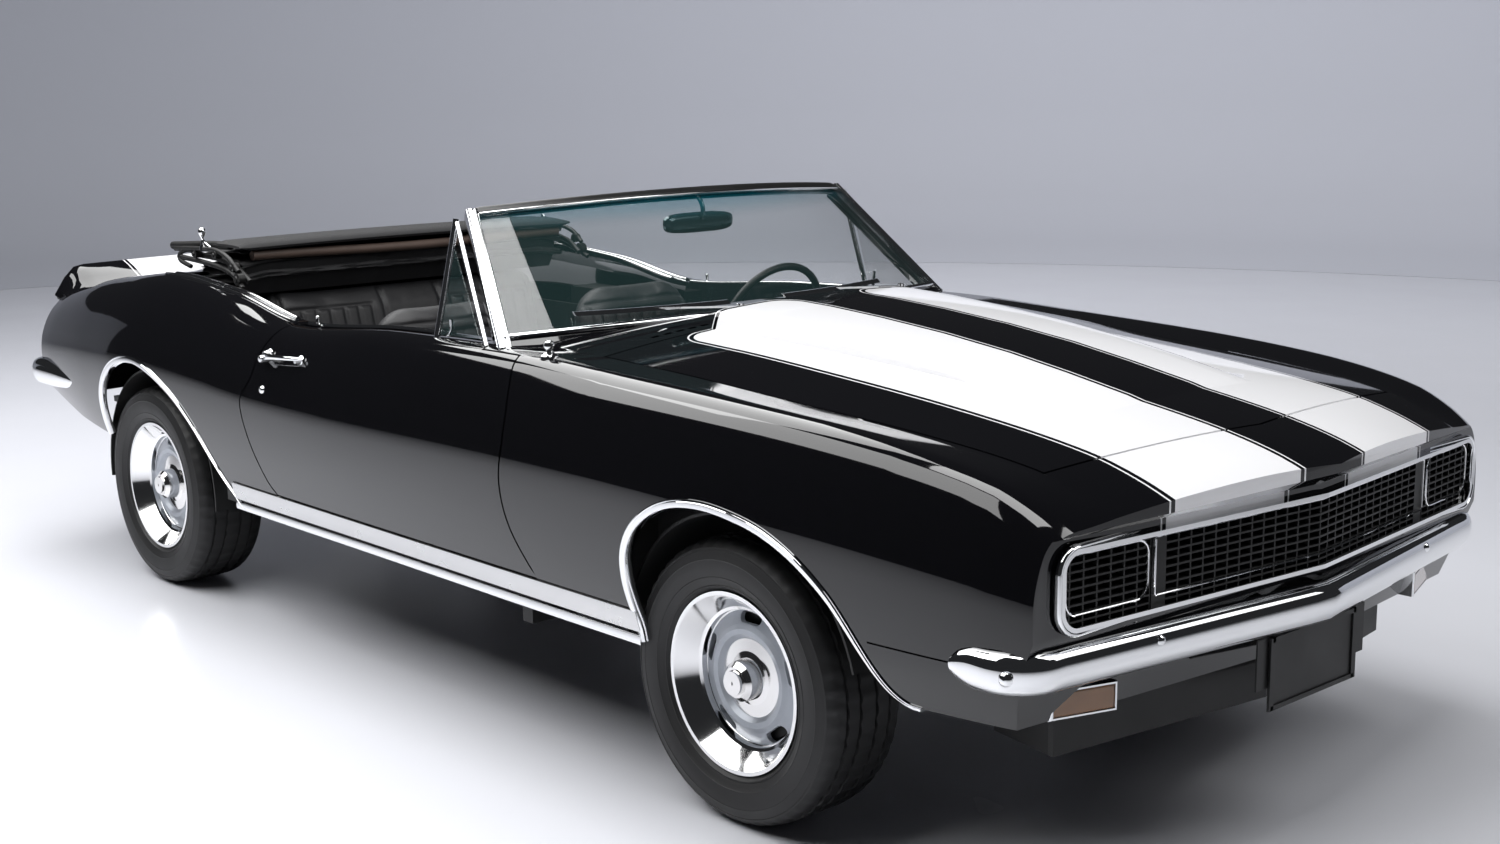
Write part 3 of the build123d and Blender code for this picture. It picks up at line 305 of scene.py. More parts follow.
@dataclass(frozen=True)
class StripedPaint(Look):
    """Deep black gloss paint; wide white stripes with a thin outline run over the middle panels."""

    striped: bool = False
    black: Colour = (0.0035, 0.0035, 0.0045, 1.0)
    white: Colour = (0.86, 0.86, 0.88, 1.0)
    inner: float = 0.122
    outer: float = 0.475
    line_gap: float = 0.011
    line_width: float = 0.0045
    rear_end: float = 0.832
    corner: float = 0.07

    def dress(self, shader: Shader) -> None:
        """Lay the finish on a shader."""
        colour: object = self.black
        if self.striped:
            colour = shader.blend(self.mask(shader), self.black, self.white)
        shader.surface(
            Base_Color=colour,
            Roughness=0.035 + 0.02 * shader.noise(30.0),
            Coat_Weight=0.3,
            Coat_Roughness=0.01,
            Normal=shader.bump(shader.noise(70.0, 2.0), 0.02, 0.0004),
        )

    def mask(self, shader: Shader) -> Value:
        """One on a stripe or its outline, nought elsewhere; the hood's stripes end in round corners."""
        x, y, _ = shader.place()
        half = (self.outer - self.inner) / 2
        across = abs(abs(y) - (self.inner + self.outer) / 2)
        sideways = shader.maths("MAXIMUM", across - (half - self.corner), 0.0)
        behind = shader.maths("MAXIMUM", self.rear_end + self.corner - x, 0.0) * (x > 0.0)
        reach = shader.maths("SQRT", sideways * sideways + behind * behind)
        line = (reach > self.corner + self.line_gap) * (reach < self.corner + self.line_gap + self.line_width)
        return shader.maths("MAXIMUM", reach < self.corner, line)


@dataclass(frozen=True)
class Chrome(Look):
    """Polished plating, hardly worn."""

    roughness: float = 0.04
    shade: float = 0.86

    def dress(self, shader: Shader) -> None:
        """Lay the finish on a shader."""
        wear = shader.noise(25.0, 5.0)
        shader.surface(
            Base_Color=grey(self.shade, -0.01),
            Metallic=1.0,
            Roughness=self.roughness * (0.6 + 1.0 * wear),
        )


@dataclass(frozen=True)
class TintedGlass(Look):
    """Green-tinted window glass, with a blue shade band along its top edge."""

    band_low: float = 1.9
    band_high: float = 2.0
    clear: float = 0.10

    def dress(self, shader: Shader) -> None:
        """Lay the finish on a shader."""
        _, _, z = shader.place()
        shade = shader.fade(z, self.band_low, self.band_high)
        tint = shader.blend(shade, (0.05, 0.11, 0.11, 1), (0.0, 0.16, 0.22, 1))
        film = shader.node("BsdfPrincipled", None, Base_Color=tint, Roughness=0.02,
                           Alpha=self.clear + 0.25 * shade)
        gloss = shader.node("BsdfPrincipled", None, Base_Color=grey(0.95), Metallic=1.0, Roughness=0.0)
        facing = Value(shader, shader.node("LayerWeight", None, Blend=0.5).outputs["Facing"])
        rim = 0.03 + 0.8 * shader.maths("POWER", facing, 5.0)
        mixed = shader.node("MixShader", None, _0=rim, _1=film.outputs[0], _2=gloss.outputs[0])
        shader.links.new(mixed.outputs[0], shader.output.inputs[0])


@dataclass(frozen=True)
class WheelFinish(Look):
    """A wheel's finish by distance from its axle: painted disc, polished trim ring and hub cap."""

    ring: float = 0.1495
    dish: float = 0.087

    def dress(self, shader: Shader) -> None:
        """Lay the finish on a shader."""
        x, _, z = shader.place()
        ahead = shader.maths("MINIMUM", abs(x - AXLE_X), abs(x - REAR_AXLE_X))
        rise = z - WHEEL_Z
        radius = shader.maths("SQRT", ahead * ahead + rise * rise)
        bright = shader.maths("MAXIMUM", radius > self.ring, radius < self.dish)
        dust = shader.noise(30.0, 5.0)
        disc = shader.blend(dust, (0.36, 0.39, 0.44, 1), (0.47, 0.50, 0.55, 1))
        polished = shader.blend(radius < self.dish, grey(0.86), grey(0.80, 0.01))
        shader.surface(
            Base_Color=shader.blend(bright, disc, polished),
            Metallic=0.25 + 0.75 * bright,
            Roughness=0.34 - 0.27 * bright + 0.06 * dust,
            Coat_Weight=0.3,
        )


@dataclass(frozen=True)
class Rubber(Look):
    """Tyre rubber with a fine grain, unevenly dusty."""

    def dress(self, shader: Shader) -> None:
        """Lay the finish on a shader."""
        dust = shader.noise(14.0, 6.0)
        fine = shader.noise(900.0, 2.0)
        shader.surface(
            Base_Color=shader.blend(dust, (0.006, 0.006, 0.007, 1), (0.016, 0.016, 0.016, 1)),
            Roughness=0.42 + 0.25 * dust,
            Normal=shader.bump(fine, 0.35, 0.0003),
        )


@dataclass(frozen=True)
class Vinyl(Look):
    """Black upholstery vinyl with a fine leather grain and worn, paler crests."""

    colour: Colour = (0.010, 0.010, 0.011, 1.0)
    cell: float = 340.0
    wear: float = 2.4

    def dress(self, shader: Shader) -> None:
        """Lay the finish on a shader."""
        place = shader.node("TexCoord").outputs["Object"]
        cells = shader.node("TexVoronoi", {"feature": "DISTANCE_TO_EDGE"}, Vector=place, Scale=self.cell)
        grain = shader.maths("MINIMUM", Value(shader, cells.outputs[0]) * 6.0, 1.0)
        worn = shader.noise(6.0, 5.0)
        shader.surface(
            Base_Color=shader.blend(worn, self.colour, scaled(self.colour, self.wear)),
            Roughness=0.36 + 0.22 * worn,
            Normal=shader.bump(grain, 0.35, 0.0005),
        )


@dataclass(frozen=True)
class Canvas(Look):
    """Coarse coated top cloth: a weave that shows close up, and dusty folds."""

    colour: Colour = (0.013, 0.013, 0.014, 1.0)
    thread: float = 700.0
    dust: float = 2.2

    def dress(self, shader: Shader) -> None:
        """Lay the finish on a shader."""
        x, y, z = shader.place()
        across = shader.maths("SINE", (x + z) * self.thread * math.tau)
        along = shader.maths("SINE", y * self.thread * math.tau)
        weave = across * along
        dust = shader.noise(11.0, 6.0)
        shader.surface(
            Base_Color=shader.blend(dust, self.colour, scaled(self.colour, self.dust)),
            Roughness=0.62 + 0.25 * dust,
            Normal=shader.bump(weave + 2.0 * shader.noise(60.0), 0.4, 0.0004),
        )


# ------------------------------------------------------------------ mesh helpers
def as_object(name: str, mesh: bpy.types.Mesh, material: Optional[Material] = None) -> bpy.types.Object:
    """Put a mesh in the scene as an object of its own."""
    made = bpy.data.objects.new(name, mesh)
    bpy.context.scene.collection.objects.link(made)
    if material is not None:
        mesh.materials.clear()
        mesh.materials.append(material)
    return made


def bare(name: str, bm: Form) -> bpy.types.Mesh:
    """Turn a bmesh into a mesh as it stands, and free it."""
    mesh = bpy.data.meshes.new(name)
    bm.to_mesh(mesh)
    bm.free()
    return mesh


def to_mesh(name: str, bm: Form, sharp: float = 35.0) -> bpy.types.Mesh:
    """Turn a bmesh into a smooth-shaded mesh.

    Args:
        name: The mesh's name.
        bm: The geometry; it is freed.
        sharp: Edges that turn by more than this many degrees stay sharp.

    Returns:
        The mesh.
    """
    limit = math.radians(sharp)
    for face in bm.faces:
        face.smooth = True
    for edge in bm.edges:
        edge.smooth = len(edge.link_faces) == 2 and edge.calc_face_angle(0.0) < limit
    return bare(name, bm)


def evaluated(piece: bpy.types.Object) -> Form:
    """The piece's mesh with its modifiers applied, as a bmesh."""
    graph = bpy.context.evaluated_depsgraph_get()
    bm = bmesh.new()
    bm.from_mesh(piece.evaluated_get(graph).to_mesh())
    return bm


def dropped(piece: bpy.types.Object) -> None:
    """Remove a working object and its mesh."""
    data = piece.data
    bpy.data.objects.remove(piece)
    bpy.data.meshes.remove(data)


def outward(bm: Form) -> None:
    """Merge doubles and turn every face outwards."""
    bmesh.ops.remove_doubles(bm, verts=bm.verts, dist=1e-5)
    bmesh.ops.recalc_face_normals(bm, faces=bm.faces)


def loft(loops: Sequence[Sequence[Vector]], caps: bool = True) -> Form:
    """Bridge a run of closed loops into a skin.

    Args:
        loops: Loops with the same number of points.
        caps: Whether the first and last loops are filled.

    Returns:
        The skin as a bmesh.
    """
    bm = bmesh.new()
    rings = [[bm.verts.new(point) for point in loop] for loop in loops]
    edges = [[bm.edges.new(pair) for pair in zip(ring, ring[1:] + ring[:1])] for ring in rings]
    if caps:
        for ring in (rings[0], rings[-1]):
            bmesh.ops.contextual_create(bm, geom=ring)
    for low, high in zip(edges, edges[1:]):
        bmesh.ops.bridge_loops(bm, edges=low + high)
    outward(bm)
    return bm


def grid(rows: int, columns: int, place: Callable[[int, int], Place]) -> Form:
    """A grid whose points are moved to where `place` says.

    Args:
        rows: Points along the first direction.
        columns: Points along the second.
        place: Gives a point from its row and column.

    Returns:
        The grid as a bmesh.
    """
    bm = bmesh.new()
    bmesh.ops.create_grid(bm, x_segments=rows - 1, y_segments=columns - 1, size=1.0)
    for vert in bm.verts:
        row = round((vert.co.x + 1) / 2 * (rows - 1))
        column = round((vert.co.y + 1) / 2 * (columns - 1))
        vert.co = Vector(place(row, column))
    return bm


def prism(outline: Profile, axis: str, low: float, high: float) -> Form:
    """A closed prism.

    Args:
        outline: Its outline: (x, y) for axis Z, (x, z) for axis Y, (y, z) for axis X.
        axis: The direction that it runs along.
        low: Where it starts.
        high: Where it ends.

    Returns:
        The prism as a bmesh.
    """
    def point(pair: Point, depth: float) -> Vector:
        a, b = pair
        return Vector({"X": (depth, a, b), "Y": (a, depth, b), "Z": (a, b, depth)}[axis])

    return loft([[point(pair, depth) for pair in outline] for depth in (low, high)])


def box(low: Place, high: Place) -> Form:
    """A block between two corners."""
    bm = bmesh.new()
    bmesh.ops.create_cube(bm, size=1.0)
    for vert in bm.verts:
        vert.co = Vector([a + (c + 0.5) * (b - a) for a, b, c in zip(low, high, vert.co)])
    return bm


def spun(profile: Sequence[Point], centre: Place, axis: Place, steps: int = 96,
         closed: bool = False) -> Form:
    """Spin a profile of (radius, distance along the axis) into a round form.

    Args:
        profile: The points of the profile.
        centre: Where radius and distance are nought.
        axis: The direction of the axis.
        steps: Number of segments round the form.
        closed: Whether the profile closes on itself.

    Returns:
        The form as a bmesh.
    """
    along = Vector(axis).normalized()
    out = along.orthogonal().normalized()
    bm = bmesh.new()
    verts = [bm.verts.new(Vector(centre) + out * r + along * a) for r, a in profile]
    ring = verts + ([verts[0]] if closed else [])
    edges = [bm.edges.new(pair) for pair in zip(ring, ring[1:])]
    bmesh.ops.spin(bm, geom=verts + edges, cent=centre, axis=along, angle=math.tau, steps=steps,
                   use_merge=True)
    outward(bm)
    return bm


def turned(bm: Form, angle: float, centre: Place, axis: Place) -> Form:
    """Turn everything about an axis through a centre."""
    bmesh.ops.rotate(bm, verts=bm.verts, cent=centre, matrix=Matrix.Rotation(angle, 3, Vector(axis)))
    return bm


def joined(*parts: Form) -> Form:
    """Gather several bmeshes into the first, and free the rest."""
    whole = parts[0]
    for part in parts[1:]:
        mesh = bare("gathered", part)
        whole.from_mesh(mesh)
        bpy.data.meshes.remove(mesh)
    return whole


def mirrored(bm: Form) -> Form:
    """A copy on the other side of the car."""
    other = bm.copy()
    bmesh.ops.scale(other, vec=(1, -1, 1), verts=other.verts)
    bmesh.ops.reverse_faces(other, faces=other.faces)
    return other


def both_sides(bm: Form) -> Form:
    """A right-hand form and its mirror image, gathered into one."""
    return joined(mirrored(bm), bm)


def carved(bm: Form, cuts: Iterable[tuple[Cut, Form]]) -> Form:
    """Cut a closed solid by others, in turn.

    Args:
        bm: The solid; it is freed.
        cuts: What each cutter does, and the cutter, which is freed.

    Returns:
        What is left.
    """
    target = as_object("carved", bare("carved", bm))
    tools = []
    for kind, tool in cuts:
        tools.append(as_object("tool", bare("tool", tool)))
        change = target.modifiers.new("cut", "BOOLEAN")
        change.operation, change.solver, change.object = kind.value, "EXACT", tools[-1]
    result = evaluated(target)
    for thing in (target, *tools):
        dropped(thing)
    return result


def tube(points: Sequence[Place], radius: float, sides: int = 10) -> Form:
    """A round bar that follows points, its ends closed.

    Args:
        points: The centreline.
        radius: The bar's radius.
        sides: Points round the bar.

    Returns:
        The bar as a bmesh.
    """
    path = [Vector(p) for p in points]
    loops, side = [], None
    for index, point in enumerate(path):
        ahead = path[min(index + 1, len(path) - 1)] - path[max(index - 1, 0)]
        ahead.normalize()
        side = ahead.orthogonal() if side is None else side - ahead * side.dot(ahead)
        side.normalize()
        other = ahead.cross(side)
        loops.append([point + radius * (math.cos(a) * side + math.sin(a) * other)
                      for a in (math.tau * k / sides for k in range(sides))])
    return loft(loops)


def strip(path: Sequence[Vector], outs: Sequence[Vector], profile: Profile) -> Form:
    """Sweep a closed cross-section along a path.

    Args:
        path: The points that it follows.
        outs: The outward direction at each point.
        profile: Pairs of distance across the path and distance outwards.

    Returns:
        The strip as a bmesh.
    """
    loops = []
    for index, (point, out) in enumerate(zip(path, outs)):
        ahead = (path[min(index + 1, len(path) - 1)] - path[max(index - 1, 0)]).normalized()
        up = (out - ahead * out.dot(ahead)).normalized()
        across = ahead.cross(up)
        loops.append([point + across * a + up * b for a, b in profile])
    return loft(loops)


def half_round(width: float, height: float, sunk: float = 0.002, steps: int = 8) -> list[Point]:
    """The cross-section of a half-round moulding."""
    arc = [(-width / 2 * math.cos(a), height * math.sin(a)) for a in np.linspace(0.0, math.pi, steps)]
    return [(-width / 2, -sunk), *arc, (width / 2, -sunk)]


def rounded(low: Point, high: Point, corner: float, steps: int) -> list[Point]:
    """A rectangle with round corners, begun at its upper right.

    Args:
        low: Its lower left corner.
        high: Its upper right corner.
        corner: The radius of its corners.
        steps: Points round each corner.

    Returns:
        Its outline.
    """
    (left, foot), (right, top) = low, high
    centres = ((right - corner, top - corner), (left + corner, top - corner),
               (left + corner, foot + corner), (right - corner, foot + corner))
    return [(a + corner * math.cos(math.radians(turn)), b + corner * math.sin(math.radians(turn)))
            for quarter, (a, b) in enumerate(centres)
            for turn in np.linspace(90 * quarter, 90 * quarter + 90, steps)]


def smooth_line(points: Sequence[Place], pieces: int = 8) -> list[Vector]:
    """A smooth line through points (Catmull-Rom)."""
    path = [Vector(p) for p in points]
    path = [2 * path[0] - path[1], *path, 2 * path[-1] - path[-2]]
    line = []
    for a, b, c, d in zip(path, path[1:], path[2:], path[3:]):
        for step in range(pieces):
            t = step / pieces
            line.append(0.5 * (2 * b + (c - a) * t + (2 * a - 5 * b + 4 * c - d) * t * t
                               + (3 * b - a - 3 * c + d) * t ** 3))
    return line + [path[-2]]


# ------------------------------------------------------------------ the body's form
# Station and centre height, then y and z of the hood's edge, the crease, the widest line and the sill.
SECTIONS = np.array([
    (0.960, 0.800, 0.600, 0.726, 0.742, 0.700, 0.776, 0.608, 0.735, 0.400),
    (0.860, 0.838, 0.626, 0.778, 0.770, 0.742, 0.806, 0.620, 0.756, 0.396),
    (0.770, 0.862, 0.636, 0.818, 0.784, 0.808, 0.838, 0.628, 0.786, 0.394),
    (0.660, 0.884, 0.642, 0.852, 0.794, 0.858, 0.862, 0.636, 0.808, 0.392),
    (0.380, 0.926, 0.654, 0.886, 0.812, 0.904, 0.890, 0.650, 0.842, 0.390),
    (0.000, 0.966, 0.670, 0.912, 0.824, 0.928, 0.906, 0.660, 0.864, 0.388),
    (-0.400, 0.988, 0.690, 0.938, 0.828, 0.940, 0.913, 0.665, 0.872, 0.386),
    (-0.800, 0.996, 0.706, 0.952, 0.824, 0.952, 0.916, 0.660, 0.874, 0.385),
    (-1.400, 0.985, 0.706, 0.938, 0.816, 0.940, 0.917, 0.655, 0.874, 0.385),
    (-1.950, 0.960, 0.700, 0.902, 0.804, 0.904, 0.916, 0.672, 0.876, 0.386),
    (-2.350, 0.985, 0.640, 0.962, 0.772, 0.958, 0.917, 0.690, 0.876, 0.390),
    (-2.750, 1.000, 0.612, 0.982, 0.748, 0.984, 0.914, 0.702, 0.866, 0.396),
    (-3.150, 0.968, 0.606, 0.944, 0.736, 0.946, 0.893, 0.692, 0.842, 0.420),
    (-3.500, 0.918, 0.600, 0.888, 0.722, 0.890, 0.854, 0.672, 0.806, 0.470),
    (-3.760, 0.862, 0.590, 0.832, 0.702, 0.832, 0.808, 0.642, 0.768, 0.520),
])[::-1]
# The edges of the wheel openings, as station and height.
FRONT_ARCH = (
    (-0.226, 0.250), (-0.246, 0.330), (-0.262, 0.390), (-0.276, 0.450), (-0.283, 0.505),
    (-0.276, 0.565), (-0.243, 0.622), (-0.185, 0.668), (-0.117, 0.695), (-0.037, 0.705), (0.044, 0.701),
    (0.137, 0.685), (0.215, 0.657), (0.277, 0.622), (0.329, 0.582), (0.367, 0.540), (0.401, 0.492),
    (0.424, 0.458), (0.450, 0.424), (0.477, 0.400), (0.506, 0.386), (0.540, 0.380), (0.570, 0.340),
    (0.590, 0.250))
REAR_ARCH = (
    (-2.990, 0.250), (-3.012, 0.350), (-3.026, 0.430), (-3.030, 0.500), (-3.020, 0.560),
    (-2.992, 0.612), (-2.950, 0.655), (-2.895, 0.690), (-2.830, 0.712), (-2.755, 0.722),
    (-2.680, 0.717), (-2.600, 0.699), (-2.520, 0.672), (-2.445, 0.638), (-2.380, 0.597),
    (-2.322, 0.550), (-2.262, 0.486), (-2.200, 0.418), (-2.140, 0.366), (-2.085, 0.338), (-2.020, 0.250))


@dataclass
class BodyForm:
    """The outer form of the body, smooth between its sections."""

    crease_round: float = 0.045
    step: float = 0.03
    slopes: np.ndarray = field(init=False)

    def __post_init__(self) -> None:
        """Work out the slopes that carry each measure smoothly from section to section."""
        stations, values = SECTIONS[:, 0], SECTIONS[:, 1:]
        spans = np.diff(stations)[:, None]
        rises = np.diff(values, axis=0) / spans
        inner = np.zeros_like(values[1:-1])
        same = rises[:-1] * rises[1:] > 0
        weight_a, weight_b = 2 * spans[1:] + spans[:-1], spans[1:] + 2 * spans[:-1]
        with np.errstate(divide="ignore", invalid="ignore"):
            mean = (weight_a + weight_b) / (weight_a / rises[:-1] + weight_b / rises[1:])
        inner[same] = mean[same]
        self.slopes = np.vstack([rises[:1], inner, rises[-1:]])

    def section(self, s: float) -> np.ndarray:
        """The nine measures of the section at a station.

        Args:
            s: The station, metres ahead of the front axle.

        Returns:
            Centre height, then y and z of hood edge, crease, widest line and sill.
        """
        stations, values = SECTIONS[:, 0], SECTIONS[:, 1:]
        i = int(np.clip(np.searchsorted(stations, s) - 1, 0, len(stations) - 2))
        span = stations[i + 1] - stations[i]
        t = (s - stations[i]) / span
        return ((2 * t ** 3 - 3 * t ** 2 + 1) * values[i] + (t ** 3 - 2 * t ** 2 + t) * span * self.slopes[i]
                + (3 * t ** 2 - 2 * t ** 3) * values[i + 1] + (t ** 3 - t ** 2) * span * self.slopes[i + 1])

    @staticmethod
    def _arc(edge: np.ndarray, wide: np.ndarray, count: int) -> np.ndarray:
        """Points of the arc from an edge to the widest line, where it is upright."""
        out, rise = wide[0] - edge[0], edge[1] - wide[1]
        radius = (out ** 2 + rise ** 2) / (2 * out)
        angles = np.linspace(math.atan2(rise, radius - out), 0.0, count)
        return np.stack([wide[0] - radius + radius * np.cos(angles), wide[1] + radius * np.sin(angles)], 1)

    def half_section(self, s: float, depth: float = 0.0, fine: int = 1) -> np.ndarray:
        """The right half of a section, from the middle of the top round to the sill.

        Args:
            s: The station.
            depth: How far the skin is moved in.
            fine: Multiplies the number of points.

        Returns:
            Rows of distance from the middle, and height.
        """
        centre, y_top, z_top, y_crease, z_crease, y_wide, z_wide, y_sill, z_sill = self.section(s)
        centre, z_top, z_crease = centre - depth, z_top - depth, z_crease - depth
        y_crease, y_wide, y_sill = y_crease - depth, y_wide - depth, y_sill - depth
        ys = np.linspace(0, y_top, 14 * fine)
        crown = np.stack([ys, centre - (centre - z_top) * (ys / y_top) ** 2], 1)
        wide = np.array([y_wide, z_wide])
        crease = np.array([y_crease, z_crease])
        upper = self._arc(crease, wide, 60)
        lower = self._arc(np.array([y_sill, z_sill]), wide, 8 * fine)[::-1]
        top = np.array([y_top, z_top])
        reach = min(self.crease_round, 0.45 * float(np.linalg.norm(crease - top)))
        ahead = crease + (top - crease) * reach / np.linalg.norm(top - crease)
        behind = upper[np.searchsorted(np.linalg.norm(upper - crease, axis=1), reach)]
        t = np.linspace(0, 1, 9 * fine)[:, None]
        fillet = (1 - t) ** 2 * ahead + 2 * t * (1 - t) * crease + t ** 2 * behind
        flat = top + (ahead - top) * np.linspace(0, 1, 6 * fine)[1:-1, None]
        rest = upper[np.linalg.norm(upper - crease, axis=1) > reach]
        picks = np.linspace(0, len(rest) - 1, 12 * fine).round().astype(int)
        return np.vstack([crown, flat, fillet, rest[picks][1:], lower[1:]])

    def side_y(self, s: float, z: float, depth: float = 0.0) -> float:
        """Half the body's width at a height on its side."""
        half = self.half_section(s, depth, 2)
        widest = int(np.argmax(half[:, 0]))
        if z <= half[widest, 1]:
            low = half[widest:]
            return float(np.interp(z, low[::-1, 1], low[::-1, 0]))
        high = half[: widest + 1]
        start = int(np.argmax(high[:, 0] > self.section(s)[1]))
        high = high[start:][::-1]
        return float(np.interp(z, high[:, 1], high[:, 0]))

    def top_z(self, s: float, y: float) -> float:
        """Height of the top skin at a distance from the middle."""
        half = self.half_section(s, 0.0, 2)
        upper = half[: int(np.argmax(half[:, 0]))]
        return float(np.interp(abs(y), upper[:, 0], upper[:, 1]))

    def on_side(self, x: float, z: float) -> Vector:
        """The point of the right-hand skin at a place seen from the side."""
        return Vector((x, -self.side_y(x - AXLE_X, z), z))

    def out_of(self, x: float, z: float) -> Vector:
        """The outward direction of the right-hand skin at a place seen from the side."""
        step = 0.004
        along = self.on_side(x + step, z) - self.on_side(x - step, z)
        upwards = self.on_side(x, z + step) - self.on_side(x, z - step)
        out = along.cross(upwards).normalized()
        return -out if out.y > 0 else out

    def solid(self, low: float, high: float, depth: float = 0.0, floor: Optional[float] = None,
              fine: int = 1) -> Form:
        """The closed body between two stations.

        Args:
            low: Rear station.
            high: Front station.
            depth: How far the skin is moved in.
            floor: Height of its flat bottom, or None for the sill's own.
            fine: Multiplies the points round a section.

        Returns:
            The solid as a bmesh.
        """
        count = max(3, int((high - low) / (self.step / fine)) + 1)
        loops = []
        for s in np.linspace(low, high, count):
            half = self.half_section(float(s), depth, fine)
            foot = [[half[-1, 0], floor]] if floor is not None else []
            outline = np.vstack([half, foot]) if foot else half
            right = [Vector((AXLE_X + s, -y, z)) for y, z in outline]
            left = [Vector((AXLE_X + s, y, z)) for y, z in outline[1:]]
            loops.append(right[::-1] + left)
        return quilt(loops)


def quilt(loops: Sequence[Sequence[Vector]]) -> Form:
    """A closed solid from many equal loops: a grid bent round them, closed below and at its ends."""
    bm = grid(len(loops), len(loops[0]), lambda row, column: loops[row][column])
    first, last = set(), set()
    for edge in bm.edges:
        if edge.is_boundary:
            ends = [v.co for v in edge.verts]
            if all((p - loops[0][0]).length < 1e-6 or p.x == loops[0][0].x for p in ends):
                continue
            (first if (ends[0].y + ends[1].y) < 0 else last).add(edge)
    sides = [e for e in first | last if abs(e.verts[0].co.x - e.verts[1].co.x) > 1e-7]
    bmesh.ops.bridge_loops(bm, edges=sides)
    bmesh.ops.holes_fill(bm, edges=[e for e in bm.edges if e.is_boundary])
    bmesh.ops.recalc_face_normals(bm, faces=bm.faces)
    return bm


